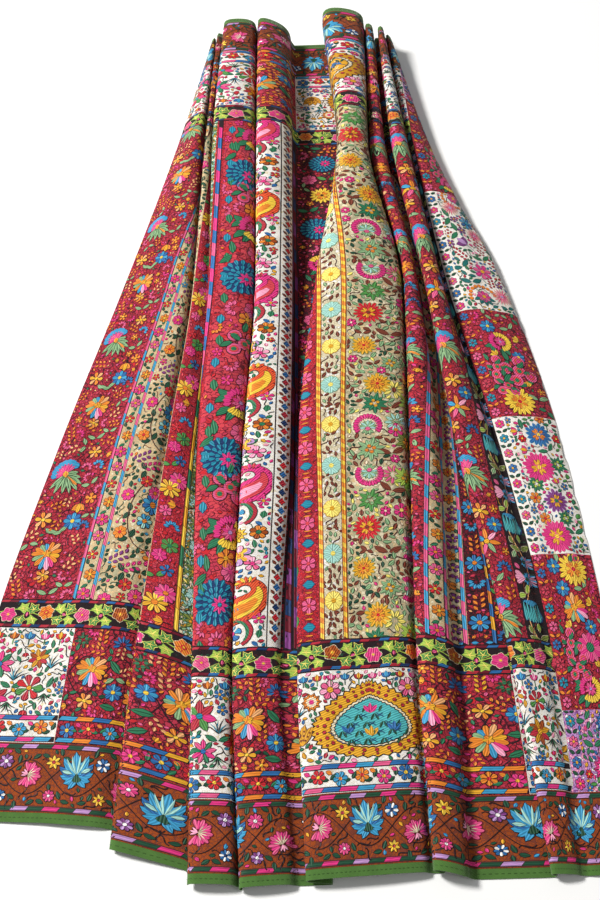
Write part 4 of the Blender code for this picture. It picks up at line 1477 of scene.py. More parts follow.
def left_crimson(work):
    window(work, 0, 125)
    set_rows(work, 470, 335, (
        (FAN, 55, 0, 10), (SAGE_PAIR, 52, 42, -10, 1.1), (CAP, 40, 170, 0, 0.95),
        (BLUE_DAISY, 84, 70, 0, 1.15), (ORANGE_DAISY, 26, 70, 20, 1.15),
        (leaf_pair("sage", 22, 8), 62, 46, 20), (STAR, 88, 108, 180, 1.5),
        (leaf_pair("sage", 20, 8), 78, 256, 10), (ORANGE_DAISY, 86, 224, 30, 0.95),
        (BLUE_BUDS, 104, 196, -30, 1.1), (SAGE_PAIR, 98, 150, 30, 1.2), (DEEP_BUDS, 108, 62, 10, 1.1),
        (PEACH_BUDS, 104, -22, -40, 1.1), (ORANGE_BUDS, 20, 262, 20, 1.1), (ORANGE_BUDS, 62, -52, 60, 1.1),
        (SAGE_PAIR, 104, -64, 0, 1.1), (small_bloom("orange", "gold", 5, 12), 108, 118),
        (ORANGE_DAISY, 60, 292, 10, 0.8),
    ))
    work.fill(RED_FILL, 9, 1400, 11)
    work.fill(RED_TINY, 3.6, 9000, 12)


def small_guard(work, w0, w1, seed):
    """A pale strip of small flowers between two dashed lines."""
    window(work, w0, w1)
    edge_line(work, w0 + 3.2, ("sky", "rose"))
    edge_line(work, w1 - 3.2, ("rose", "sky"))
    middle = (w0 + w1) / 2
    set_rows(work, 390, 150, (
        (small_bloom("magenta", "orange", 6, 12), middle - 1, 0, 10), (GREEN_PAIR, middle + 3, 20, 60, 0.9),
        (small_bloom("orange", "yellow", 6, 11), middle + 3, 38), (FOREST_PAIR, middle - 4, 58, -40, 0.9),
        (small_bloom("red", "yellow", 5, 10), middle - 2, 78), (GREEN_PAIR, middle + 4, 96, 80, 0.9),
        (small_bloom("rose", "gold", 6, 11), middle, 116, 20), (FOREST_PAIR, middle - 3, 134, -60, 0.9),
    ))
    work.fill(TAN_TINY, 3.8, 1500, seed)


def tan_stripe(work):
    window(work, 167, 289)
    turn = np.linspace(0, 2 * np.pi, 25)
    oval = Motif().add(ribbon(np.stack([np.cos(turn) * 42, np.sin(turn) * 74], axis=-1), 1.8), "umber", 1)
    set_rows(work, 560, 215, (
        (oval, 236, 0), (daisy(10, 21, 9, ("sky", "blue"), "orange", 6.5), 238, 22),
        (daisy(9, 14, 7, ("magenta", "rose"), "orange", 4), 238, 48),
        (daisy(7, 15, 8, ("sky", "aqua"), "orange", 4.4), 228, -16, 20),
        (daisy(8, 19, 8.4, ("magenta", "rose", "orange"), "green", 6), 258, -88),
        (small_bloom("red", "orange", 6, 12), 216, 68), (small_bloom("orange", "gold", 6, 12), 262, -112),
        (bud_spray("purple", 7, "wine"), 190, -98, -60, 1.2),
        (bud_spray("magenta", 7, "wine"), 214, -114, -70, 1.2),
        (small_bloom("magenta", "gold", 7, 13), 184, 36), (small_bloom("orange", "red", 7, 13), 186, -44),
        (small_bloom("magenta", "orange", 7, 15), 270, 92), (FOREST_PAIR, 196, 0, 80, 1.4),
        (FOREST_PAIR, 204, -54, 40, 1.5), (FOREST_PAIR, 272, -40, -60, 1.4),
        (FOREST_PAIR, 208, 92, 100, 1.4), (FOREST_PAIR, 276, 36, -80, 1.3),
        (FOREST_PAIR, 236, -56, 10, 1.4), (FOREST_PAIR, 240, 96, 0, 1.4),
    ))
    work.fill([FOREST_PAIR, small_bloom("magenta", "orange"), small_bloom("sky", "gold"),
               small_bloom("red", "gold")], 9, 900, 21)
    work.fill(TAN_TINY, 2.8, 9000, 22)


def red_stripe(work):
    window(work, 290, 334)
    set_rows(work, 420, 232, (
        (daisy(9, 19, 7.4, ("yellow", "gold"), "orange", 5, "petal", "umber"), 306, 0),
        (daisy(10, 17, 7.4, ("magenta", "rose"), "orange", 4), 320, 22), (LEAF_PAIR, 302, 50, 20, 1.2),
        (small_bloom("blue", "navy", 5, 11), 318, 66), (small_bloom("magenta", "rose", 7, 12), 304, 92),
        (small_bloom("leaf", "green", 6, 14, "forest"), 318, 116),
        (small_bloom("red", "coral", 5, 10), 302, 136), (BLUE_BUDS, 318, 158, 0, 1.1),
        (small_bloom("rose", "magenta", 6, 11), 304, 184), (STAR, 320, 200, 90),
    ))
    work.fill(CORAL_TINY, 3.8, 1800, 31)
    window(work, 334, 400)
    edge_line(work, 338, ("yellow", "gold", "yellow", "green"), 5.4, 40, 1, "umber", 8)
    edge_line(work, 392, ("blue", "rose", "blue", "magenta"), 5.6, 34)
    window(work, 343, 386)
    set_rows(work, 410, 96, (
        (bush("moss", "gold", 19, 10), 364, 0), (small_bloom("aqua", "yellow", 7, 15, "forest"), 364, 48),
    ))
    work.fill(KHAKI_TINY, 4.0, 1200, 32)


def coral_stripe(work):
    window(work, 400, 479, stretch=1.4)
    rows = (
        (WHEEL, 436, (460, 753, 1190, 1480)), (SUN, 452, (597, 880, 1330, 1600)),
        (RINGS, 446, (690, 1020, 1425), 0, 0.95),
        (leaf_pair("green", 24, 10), 420, (516, 800, 1250, 1545), 70),
        (small_bloom("rose", "magenta", 7, 14), 456, (520, 812, 930, 1110, 1262, 1548)),
        (small_bloom("orange", "gold", 6, 13), 448, (545, 1082, 1380, 1650)),
    )
    for motif, across, places, *turn_and_size in rows:
        for s in places:
            work.put(motif, across, s, *turn_and_size)
    set_rows(work, 430, 108, (
        (seed_bud("teal", "navy", 17, 11), 411, 0), (seed_bud("green", "forest", 19, 10), 413, 54, 8),
        (seed_bud("green", "forest", 18, 9), 472, 30, -6),
    ))
    work.fill([bud_cluster("rose", 6, "wine"), bud_cluster("orange", 5, "wine", 6),
               small_bloom("magenta", "coral", 5, 8, "wine")], 8, 700, 41)
    work.fill(CORAL_TINY, 4.4, 4200, 42)


def white_stripe(work):
    window(work, 481, 551)
    orange = hooked_paisley("ember", "yellow", "orange", "teal")
    pink = hooked_paisley("magenta", "coral", "pink", "sky")
    for k, s in enumerate(repeat(465, 230, FIELD_START - 80, FIELD_STOP + 80)):
        work.put(pink if k % 2 else orange, 518, s)
    set_rows(work, 465, 230, (
        (crook(), 504, 172), (double_flower("yellow", "gold", "green", 16, 11), 502, 130),
        (daisy(7, 13, 7.6, ("orange", "rust"), "green", 4), 535, 132, 10),
        (daisy(6, 19, 12, ("pink", "lilac"), "yellow", 7), 508, 88),
        (daisy(4, 16, 7, ("gold", "yellow"), "orange", 3.4, layer=2), 508, 88, 45),
        (daisy(5, 13, 8, ("pink", "rose"), "magenta", 3.6), 528, 70),
        (leaf_pair("green", 16, 6.4), 530, 100, 70), (seed_bud("green", "forest", 15, 9), 541, 168, -10),
        (seed_bud("blue", "navy", 12, 6), 535, 150, 50), (small_bloom("magenta", "gold", 5, 10), 540, 196),
        (seed_bud("blue", "navy", 12, 6), 543, 60, -30), (seed_bud("sky", "navy", 11, 6), 529, 212, 40),
        (small_bloom("leaf", "gold", 5, 9), 489, 50), (leaf_pair("leaf", 13, 6), 488, 112, 90),
    ))
    work.fill([small_bloom("red", "yellow", 5, 7), leaf_pair("green", 9, 5)], 7.4, 1000, 51)
    work.fill(WHITE_TINY, 2.3, 8000, 52)
    window(work, 551, 596)
    diamond = np.array([(0, -7), (5.2, 0), (0, 7), (-5.2, 0)])
    faces = np.array([(0, 1, 2), (0, 2, 3)])
    line(work, (553, FIELD_START), (553, FIELD_STOP), 1.6, "ink")
    for k, s in enumerate(repeat(396, 19, FIELD_START, FIELD_STOP)):
        thread = ("crimson", "blue", "red", "navy")[k % 4]
        link = Motif().add((diamond * 1.2, faces, 45.0), "ink", 0).add((diamond, faces, 45.0), thread, 1)
        work.put(link, 566, s)
        work.put(seed_bud("brown", "ink", 9, 4), 560, s + 9.5, 35)
        work.put(seed_bud("rust", "ink", 9, 4), 573, s + 9.5, -35)
    edge_line(work, 584, ("purple", "wine", "navy", "wine"), 4.6, 30)
    edge_line(work, 591, ("wine", "purple", "wine", "navy"), 4.2, 38)


def maroon_stripe(work):
    window(work, 595, 680)
    middle = 637.5
    set_rows(work, 430, 420, (
        (SUN, middle, 0, 90), (WHEEL, middle - 6, 105),
        (double_flower("yellow", "orange", "umber", 24), middle + 6, 210),
        (WHEEL, middle + 8, 315, 40, 0.85), (LEAF_PAIR, middle + 22, 55, 40, 1.4),
        (leaf_pair("green", 22, 10), middle - 20, 160, 10), (LEAF_PAIR, middle + 18, 262, 0, 1.4),
        (small_bloom("rose", "magenta", 7, 15), middle - 18, 262),
        (small_bloom("magenta", "yellow", 7, 13), middle + 24, 160),
        (leaf_pair("green", 22, 9), middle - 16, 370, -30),
    ))
    work.fill(RED_FILL, 9, 900, 55)
    work.fill(RED_TINY, 3.6, 5000, 56)


def bead_columns(work):
    """The red column of blue buds and the pale column beside it, between rope lines."""
    window(work, 680, 728, stretch=1.2)
    bead = Motif().edged_blade("teal", 19, 13, 0, (-9.5, 0), "almond", edge="navy")
    bracket = Motif()
    for off in (-5, 5):
        bend = 24 if off > 0 else -24
        bracket.edged_blade("orange", 15, 3.2, 0, (-7.5, off), "almond", bend, edge="wine", reach=0.8)
    set_rows(work, 405, 80, (
        (bead, 710, 0), (small_bloom("rose", "coral", 6, 12, "wine"), 710, 40), (bracket, 710, 20, 0, 0.9),
        (bracket, 710, 60, 0, 0.9),
    ))
    set_rows(work, 420, 96, (
        (seed_bud("leaf", "forest", 19, 9), 689, 0), (seed_bud("blue", "navy", 15, 8), 689, 46),
    ))
    work.fill(CORAL_TINY, 3.6, 1400, 61)
    window(work, 726, 775)
    for place in (731, 769):
        edge_line(work, place, ("yellow", "orange"), 5.6, 9, 0.4, "brown", 8.4)
    window(work, 735, 765, stretch=1.25)
    set_rows(work, 900, 180, (
        (small_bloom("aqua", "lemon", 10, 15, "sage"), 750, 0),
        (small_bloom("lemon", "gold", 10, 14, "ochre"), 750, 90),
    ))
    work.fill([*buds(("brown", "ink", 10, 4), ("brown", "umber", 9, 3.6)), curl("umber", 0.8),
               leaf_pair("brown", 9, 3.6, "umber"), seed_bud("sage", "forest", 7, 3.4)],
              3.0, 5200, 62, (-32, 32))


def khaki_stripe(work):
    window(work, 774, 904, stretch=1.12)
    ring = crescent()
    wide_leaves = leaf_pair("brown", 24, 9, "umber")
    red = double_flower("red", "gold", "brown", 23, 17, "sage")
    gold = double_flower("gold", "orange", "red", 21, 15, "moss")
    set_rows(work, 805, 480, (
        (ring, 808, 0), (ring, 810, -105, 180), (red, 806, -215), (gold, 822, 95, 20),
        (gold, 800, 185, 0, 0.9), (ring, 876, 145, -90, 0.95), (ring, 878, 225, -90, 0.95),
        (bush("lime", "gold", 25), 870, -110), (bush("moss", "yellow", 23), 872, -30),
        (bush("sage", "orange", 24), 812, -52), (bush("green", "gold", 24), 818, 50, 0, 0.9),
        (bush("sage", "gold", 20), 842, 145, 0, 0.9), (bush("lime", "orange", 23), 876, 60),
        (bush("leaf", "sage", 22), 812, -160), (bush("aqua", "sage", 18), 884, 8),
        (wide_leaves, 846, -60, 10),
        (leaf_pair("brown", 22, 8, "umber"), 844, 40, 20),
        (wide_leaves, 846, -140, -15),
        (wide_leaves, 840, 214), (small_bloom("magenta", "orange", 6, 13), 852, -8),
        (small_bloom("magenta", "lemon", 6, 13), 862, -180),
        (small_bloom("magenta", "rose", 6, 12), 892, -70), (SAGE_PAIR, 890, -145, 0, 1.3),
        (bud_cluster("rose", 9, "moss", 11), 846, -102, 30, 1.2),
        (bud_cluster("lemon", 9, "moss", 11), 850, 88, -20, 1.2),
        (bud_cluster("pink", 9, "moss", 11), 884, -190, 10, 1.2),
        (bud_cluster("aqua", 9, "moss", 11), 848, 12, 60, 1.2),
    ))
    work.fill([leaf_pair("brown", 14, 6, "umber"), leaf_pair("sage", 12, 6, "forest"),
               leaf_pair("brown", 12, 5.4), leaf_pair("forest", 11, 5),
               small_bloom("magenta", "cream", 6, 8, "wine"), leaf_pair("sage", 13, 5)], 6.4, 4600, 71)
    work.fill(KHAKI_TINY, 2.0, 16000, 72)


def right_stripes(work):
    window(work, 905, 964)
    set_rows(work, 1280, 290, (
        (CAP, 930, 0, 0, 0.85), (small_bloom("orange", "gold", 6, 14), 936, -74),
        (BLUE_BUDS, 938, -128, 0, 1.3), (leaf_pair("sage", 18, 8), 934, -100, 10),
        (ORANGE_BUDS, 932, 62, 20, 1.2), (SAGE_PAIR, 942, 90, -10, 1.2), (PEACH_BUDS, 926, -152, 30, 1.2),
        (DEEP_BUDS, 946, 120, 0, 1.1),
    ))
    work.fill(RED_FILL, 9, 800, 81)
    work.fill(RED_TINY, 4.0, 2600, 82)
    small_guard(work, 965, 1002, 83)
    window(work, 1002, 1034)
    set_rows(work, 392, 60, (
        (small_bloom("purple", "yellow", 5, 9), 1018, 15), (small_bloom("orange", "red", 6, 10), 1012, 38),
        (seed_bud("magenta", "wine", 10, 6), 1010, 2, 20), (seed_bud("sky", "navy", 10, 6), 1024, 50, -20),
        (seed_bud("forest", "ink", 10, 6), 1024, 30, 30),
        (bud_cluster("purple", 5, "wine"), 1018, 54, 0, 0.9),
    ))
    edge_line(work, 1031, ("rose", "sky"))
    work.fill(TAN_TINY, 3.8, 900, 84)
    window(work, 1035, 1110)
    edge_line(work, 1072, ("blue", "gold", "blue", "orange"), 5.0, 24)
    set_rows(work, 420, 116, (
        (daisy(8, 16, 7.6, ("blue", "sky"), "orange", 4), 1053, 0), (ORANGE_BUDS, 1055, 36, 0, 1.2),
        (BLUE_BUDS, 1054, 74, 180, 1.2), (daisy(7, 15, 7, ("orange", "gold"), "red", 4), 1092, 20),
        (LEAF_PAIR, 1092, 56, 0, 1.2), (DEEP_BUDS, 1090, 92, 0, 1.2),
    ))
    work.fill(RED_FILL, 9, 600, 85)
    work.fill(RED_TINY, 4.2, 2200, 86)
    window(work, 1111, 1189)
    plumes = ("pink", "orange", "sky", "gold", "rose", "sage", "orange")
    bird = daisy(7, 27, 9, plumes, "gold", 5, "leaf", start=40)
    set_rows(work, 1000, 290, (
        (CAP, 1144, 0), (ORANGE_DAISY, 1150, -84, 10, 1.1), (BLUE_DAISY, 1172, -112), (bird, 1150, -146),
        (leaf_pair("sage", 22, 9), 1150, 66, 15), (ORANGE_DAISY, 1134, 102, 0, 0.9),
        (DEEP_BUDS, 1172, 96, 0, 1.2), (SAGE_PAIR, 1126, -56, 40, 1.1), (ORANGE_BUDS, 1174, 40, 0, 1.1),
        (PEACH_BUDS, 1124, -110, 0, 1.1),
    ))
    work.fill(RED_FILL, 9, 1000, 87)
    work.fill(RED_TINY, 4.2, 3600, 88)


def lotus_column(work):
    window(work, 1191, 1234)
    vine(work, (1212, FIELD_START), (1212, FIELD_STOP), 174, 12, 2.0, "peach")
    vine(work, (1212, FIELD_START), (1212, FIELD_STOP), 87, 9, 1.6, "brown", phase=1.2)
    flute = Motif()
    for k in range(6):
        foot = (-16 + 6.4 * k, -14 - abs(k - 2.5) * 1.5)
        flute.edged_blade("turquoise", 34, 7.5, 90, foot, "petal", edge="navy")
    flute.edged_blade("sky", 12, 34, -90, (0, -10), "drop", edge="navy")
    pair = lotus_fan("pink", 0.68)
    back = Motif()
    for turn in (150, 180, 210):
        back.edged_blade("pink", 22, 10, turn, (2, 0), "petal", edge="wine")
    set_rows(work, 430, 174, (
        (flute, 1212, 0, 180), (back, 1210, 66), (pair, 1220, 64, -90), (pair, 1221, 98, -90, 0.9),
        (leaf_pair("lime", 20, 10, "cream"), 1206, 34, 40),
        (leaf_pair("moss", 22, 10, "cream"), 1218, 122, 10), (seed_bud("lime", "cream", 17, 10), 1220, 146),
        (seed_bud("moss", "cream", 17, 10), 1202, 140, 30), (seed_bud("rose", "wine", 14, 9), 1200, 88, 40),
        (seed_bud("sage", "cream", 16, 9), 1200, 112, -30),
    ))
    work.fill(BLACK_TINY, 4.6, 1100, 91)


def vine_band(work, s0, s1):
    """Lime ivy and rosettes on black, between dashed lines."""
    middle = (s0 + s1) / 2
    window(work, 0, SIDE, s0, s1)
    for place in (s0 + 3.6, s1 - 3.6):
        dashes(work, (0, place), (SIDE, place), 15, 0.8, 4.6, ("crimson", "wine", "blue", "crimson", "navy"))
    vine(work, (0, middle), (SIDE, middle), 132, 7, 1.8, "lime")
    kinds = (rosette("magenta", "rose", "yellow"), rosette("orange", "red", "gold"),
             rosette("rose", "magenta", "gold", 5), rosette("rust", "orange", "yellow", 5))
    leaves = (
        ("lime", 24, 8, -35, 1.1), ("leaf", 43, 7, 30), ("leaf", 22, -11, 205, 0.95), ("lime", 44, -11, 150),
    )
    for k, w in enumerate(repeat(20, 66, 0, SIDE)):
        work.put(kinds[k % 4], w, middle + (3 if k % 2 else -3), 20 * k)
        for thread, off, lift, *turn_and_size in leaves:
            work.put(ivy(thread), w + off, middle + lift, *turn_and_size)
        work.put(seed_bud("rose", "wine", 8, 5), w + 33, middle - 2, 60 * k)


def rust_border(work, s0, s1, way):
    """Lotus fans, half flowers, daisies and stars on rust. way is 1 where they point to the field."""
    middle = (s0 + s1) / 2
    window(work, 0, WIDTH, s0, s1)
    for place in (s0 + 5, s1 - 5):
        dashed_line(work, (0, place), (WIDTH, place), 23, 0.8, 6.0, ("lilac", "forest", "magenta", "forest"),
                    "umber", 9.0)
    for phase in (0.0, math.pi):
        vine(work, (0, middle), (WIDTH, middle), 150, 27, 1.3, "ink", phase=phase)
    turn = 0 if way > 0 else 180
    lotus = lotus_fan("aqua", 1.18)
    half = carnation("magenta", "cream", "pink", 0.85)
    kinds = (
        daisy(8, 11, 5.4, ("purple", "lilac"), "white", 3),
        daisy(9, 10.5, 4.8, ("blue", "white"), "navy", 2.6),
        daisy(7, 12, 5, ("yellow", "gold"), "crimson", 2.6, "leaf"),
        daisy(9, 11, 4.8, ("magenta", "rose"), "white", 2.6),
    )
    # Which kind, how far across and along, turn for each repeat, and size
    daisies = ((0, 38, 24, 12, 1.0), (2, 112, 24, 17, 0.95), (1, 38, -30, 9, 0.8), (3, 112, -29, 23, 0.8))
    sprigs = ((-24, 34), (24, 34), (58, 36), (92, 36), (-20, -34), (20, -34), (60, -36), (92, -36))
    for k, w in enumerate(repeat(38, 150, -40, WIDTH + 40)):
        work.put(lotus, w, middle + (6 if k % 2 else 0) * way, turn + (8 if k % 2 else -8))
        work.put(half, w + 75, middle - (12 if k % 2 else -4) * way, turn + (20 if k % 2 else -100))
        for kind, off, lift, spin, size in daisies:
            work.put(kinds[(k + kind) % 4], w + off, middle + lift * way, spin * k, size)
        for off, lift in sprigs:
            work.put(leaf_pair("forest", 13, 6), w + off, middle + lift * way, turn + off * 2)
            work.put(curl("ink", 1.1, 1.4), w + off + 12, middle + lift * 0.7 * way, off * 3)
    work.fill([small_bloom("magenta", "yellow", 6, 9), small_bloom("sky", "white", 5, 9),
               leaf_pair("forest", 12, 6), small_bloom("yellow", "red", 5, 8),
               tulip("sky", "white", "forest", 0.9), bud_cluster("sky", 5)], 6.5, 4200, int(s0) + 3)
    work.fill([*buds(("sky", "navy"), ("magenta", "umber"), ("forest", "ink", 9, 5), ("gold", "umber")),
               curl("ink", 1.2, 2.2), curl("ink", 1.1, 2.0), curl("ink", 0.9, 1.8),
               seed_bud("forest", "ink", 8, 4)], 3.0, 18000, int(s0) + 4)


def outer_guard(work, w0, w1, s0, s1, ground):
    """The strip of small flowers between dashed lines on the outer side of a patch."""
    pale = ground == "white"
    threads = ("sky", "rose", "blue", "magenta") if pale else ("sky", "orange", "blue", "gold")
    window(work, w0, w1, s0, s1)
    for place in (s0 + 4.6, s1 - 4.6):
        dashed_line(work, (w0, place), (w1, place), 26, 1.0, 6.4, threads, "ink", 9.0)
    middle = (s0 + s1) / 2
    blooms = (("blue", "yellow", 6, 12), ("red", "yellow", 6, 11), ("sky", "orange", 6, 11),
              ("orange", "red", 6, 11), ("magenta", "gold", 6, 11))
    for k, w in enumerate(repeat(w0 + 16, 34, w0, w1)):
        work.put(small_bloom(*blooms[k % 5]), w, middle + (2 if k % 2 else -2), 20 * k)
        work.put(leaf_pair("forest" if pale else "green", 13, 6), w + 17, middle - 3, 14 * k)
        work.put(seed_bud("orange" if k % 2 else "magenta", "wine", 10, 6), w + 17, middle + 8, 60)
    work.fill(WHITE_TINY if pale else RED_TINY, 3.8, int((w1 - w0) * 5), int(w0) + int(s0))


def top_row(work, w0, w1, s0, s1, turn, inset, step, kinds):
    """A row of sprays along the field side of a patch."""
    edge = s1 - inset if turn == 0 else s0 + inset
    for k, w in enumerate(repeat(w0 + step / 2, step, w0, w1)):
        work.put(kinds[k % len(kinds)], w, edge, turn)


def crimson_patch(work, w0, w1, s0, s1, seed, turn):
    """Fan flowers and daisies among leaves and dark vines on crimson."""
    window(work, w0, w1, s0, s1)
    middle = (s0 + s1) / 2
    way = 1 if turn == 0 else -1
    for phase in (0, math.pi):
        vine(work, (w0, middle - 6 * way), (w1, middle - 6 * way), 120, 34, 2.0, "ink", 0, phase)
    top_row(work, w0, w1, s0, s1, turn, 20, 34, (
        bush("forest", "green", 15, 8), bud_spray("orange", 8, "ink", 9), bud_cluster("blue", 7, "navy", 12),
        bud_spray("gold", 8, "wine", 9)))
    leaf = Motif().edged_blade("green", 28, 12, 90, (0, -14))
    leaf.add(blade(22, 1.4, 90, (0, -12), "stem"), "forest", 2)
    for k, w in enumerate(repeat(w0 + 40, 82, w0, w1 - 12)):
        work.put(FAN, w, middle + (-34 if k % 2 else 6) * way, turn + 30 * k, 0.95)
        work.put(BLUE_DAISY, w + 40, middle + (8 if k % 2 else -32) * way, 0, 0.95)
        work.put(ORANGE_DAISY, w - 4, middle + (14 if k % 2 else -50) * way, 20, 0.9)
        work.put(bud_spray("orange", 6, "ink", 8), w + 20, middle + (22 if k % 2 else -20) * way, 60 * k)
        work.put(leaf, w + 38, middle + (-26 if k % 2 else 12) * way, 50 * k + 40)
        work.put(leaf, w + 34, middle - 58 * way, 80 + 30 * k, 0.9)
    fill = RED_FILL + [ORANGE_BUDS, leaf_pair("green", 13, 6), leaf_pair("forest", 12, 6)]
    work.fill(fill, 6.5, 3600, seed)
    work.fill(RED_TINY, 3.0, int((w1 - w0) * (s1 - s0) / 4), seed + 1)


def fern(work, across, place, turn, reach=30, thread="teal"):
    """A fan of thin curling stems."""
    spray = Motif()
    for m in range(7):
        length, shade = (reach * 0.8, thread) if m % 2 else (reach, "ink")
        spray.add(blade(length, 2.4, 30 + 20 * m, form="spike", bend=34 if m > 3 else -34), shade, 1)
    work.put(spray, across, place, turn)


def white_patch(work, w0, w1, s0, s1, seed, turn):
    """Jagged flowers, curls and rows of tulip buds on white."""
    window(work, w0, w1, s0, s1)
    middle = (s0 + s1) / 2
    way = 1 if turn == 0 else -1
    top_row(work, w0, w1, s0, s1, turn, 20, 27, (
        tulip("red", "gold", "forest"), tulip("rust", "orange", "leaf", 1.4), tulip("blue", "sky", "forest"),
        tulip("magenta", "pink", "leaf", 1.4)))
    kinds = (daisy(7, 27, 13, ("crimson", "leaf", "magenta"), "teal", 5, "leaf"),
             daisy(8, 23, 10, ("ochre", "rust", "crimson"), "gold", 5, "leaf"),
             daisy(9, 25, 9, ("magenta", "rose", "green"), "blue", 5, "almond"),
             daisy(7, 22, 11, ("crimson", "red", "leaf"), "gold", 4, "drop"))
    first = seed // 10
    for k, w in enumerate(repeat(w0 + 28, 58, w0, w1 - 8)):
        work.put(kinds[(k + first) % 4], w, middle + (-30 if k % 2 else 10) * way, 13 * k)
        work.put(kinds[(k + 2 + first) % 4], w + 6, middle + (22 if k % 2 else -48) * way, 17 * k, 0.8)
        fern(work, w + 29, middle + (4 if k % 2 else -18) * way, turn)
        fern(work, w + 27, middle + (-40 if k % 2 else -56) * way, turn + 180, 22, "green")
        work.put(leaf_pair("green", 20, 8), w + 28, middle - 30 * way, 40 * k)
    work.fill([leaf_pair("green", 14, 6), leaf_pair("ochre", 13, 6), small_bloom("blue", "gold", 5, 9),
               tulip("crimson", "red", "forest", 1.0), tulip("red", "magenta", "forest", 1.0),
               curl("ink", 1.3, 1.6)], 6.5, 2600, seed)
    work.fill(WHITE_TINY, 2.3, int((w1 - w0) * (s1 - s0) / 4), seed + 1)


def paisley_patch(work, w0, w1, s0, s1, seed, turn):
    """A wide saw-toothed mango between ochre leaves on white."""
    window(work, w0, w1, s0, s1)
    way = 1 if turn == 0 else -1
    rim, ground = ("gold", "turquoise") if turn == 0 else ("ochre", "gold")
    middle = ((w0 + w1) / 2 + 8, (s0 + s1) / 2)
    size = min(1.0, (w1 - w0) / 250)
    work.put(great_paisley(rim, ground), middle[0], middle[1] - 6 * way, turn, size)
    for side in (-1, 1):
        for k in range(4):
            angle = 90 - side * (22 * k - 30)
            spray = Motif().edged_blade("ochre", 34, 13, angle, bend=side * 25, edge="umber")
            for m in range(3):
                spray.add(disc(1.7, spot(angle, 9 + 7 * m), 6), "brown", 2)
            work.put(spray, middle[0] + side * (w1 - w0) * 0.42, middle[1] - 44 * way, turn)
        flower = jagged_flower("orange", "cream", "magenta", 17, 10)
        work.put(flower, middle[0] + side * 92, middle[1] + 26 * way)
        work.put(daisy(7, 16, 9, ("pink", "rose"), "gold", 5), middle[0] + side * 62, middle[1] + 44 * way)
        fern(work, middle[0] + side * 112, middle[1] + 4 * way, turn, 22)
    top_row(work, w0, w1, s0, s1, turn, 16, 22, (
        tulip("magenta", "pink", "leaf", 1.2), tulip("blue", "sky", "forest", 1.2),
        tulip("crimson", "gold", "leaf", 1.2)))
    work.fill([leaf_pair("green", 12, 5.6), leaf_pair("ochre", 12, 6, "umber"),
               small_bloom("blue", "gold", 5, 8), small_bloom("magenta", "yellow", 6, 8)], 7.5, 1800, seed)
    work.fill(WHITE_TINY, 2.3, int((w1 - w0) * (s1 - s0) / 4), seed + 1)


def end_panel(work, patches, s0, s1, guard, turn, seed):
    """One end panel. guard is the reach of the strip along its outer side."""
    start = 0.0
    for number, (stop, ground) in enumerate(patches):
        w0 = start * 1000 + 1
        w1 = stop * 1000 - 1
        outer_guard(work, w0, w1, *guard, ground)
        if ground == "crimson":
            layout = crimson_patch
        else:
            layout = paisley_patch if w1 - w0 > 200 else white_patch
        layout(work, w0, w1, s0, s1, seed + 10 * number, turn)
        start = stop


def dotted_rose():
    """A rose on teal leaves, in half a ring of orange dots."""
    made = Motif()
    for turn in range(20, 210, 19):
        made.edged_disc("orange", 4.0, spot(turn, 29), 8, edge="crimson", reach=0.7)
    for turn in range(205, 345, 34):
        made.edged_blade("pine", 17, 8, turn, spot(turn, 8), "leaf", 20, reach=0.9)
    return made.join(daisy(8, 15, 7.6, ("magenta", "rose"), "gold", 4.6, edge="purple"))


def side_motifs(number, ground):
    """Motifs down the middle of a side patch, and those on both sides of them."""
    if ground == "lavender":
        return (
            (jagged_flower("magenta", "white", "gold", 26, 12),
             jagged_flower("blue", "white", "orange", 24, 12)),
            (daisy(8, 16, 7, ("red", "orange"), "yellow", 4), leaf_pair("green", 22, 9)))
    if ground == "crimson":
        dahlia = double_flower("yellow", "orange", "red", 33, 17)
        rose_ring = daisy(12, 27, 11, ("rose", "magenta"), "green", 9)
        ring_heap = Motif().join(leaf_pair("green", 24, 11), (-2, -34))
        ring_heap.join(leaf_pair("green", 22, 10), (0, 30), 180).join(RINGS, scale=1.35)
        return (
            (ring_heap, SUN, rose_ring, dahlia) if number == FAR_WHITE - 1 else (dahlia, SUN, rose_ring, FAN),
            (leaf_pair("sage", 22, 10), RINGS, tulip("yellow", "gold", "forest", 1.6), BLUE_DAISY))
    if number == FAR_WHITE:
        return (
            (dotted_rose(), daisy(7, 21, 10, ("magenta", "rose"), "gold", 5, edge="purple"),
             tulip("purple", "lilac", "pine", 2.8), daisy(7, 18, 8, ("sky", "blue"), "teal", 5)),
            (daisy(18, 23, 2.6, ("rose", "magenta"), "lilac", 3.4, "leaf", "cream"),
             leaf_pair("pine", 25, 11), bud_spray("crimson", 8, "wine"), leaf_pair("green", 27, 11)))
    gold_daisy = double_flower("magenta", "gold", "yellow", 33, 19, "rose")
    return (
        (gold_daisy, double_flower("blue", "orange", "yellow", 27, 15, "sky"), gold_daisy,
         double_flower("purple", "gold", "green", 25, 15, "lilac")),
        (leaf_pair("green", 24, 9), small_bloom("orange", "red", 6, 12), bush("green", "lime", 20),
         tulip("magenta", "gold", "forest", 1.6)))


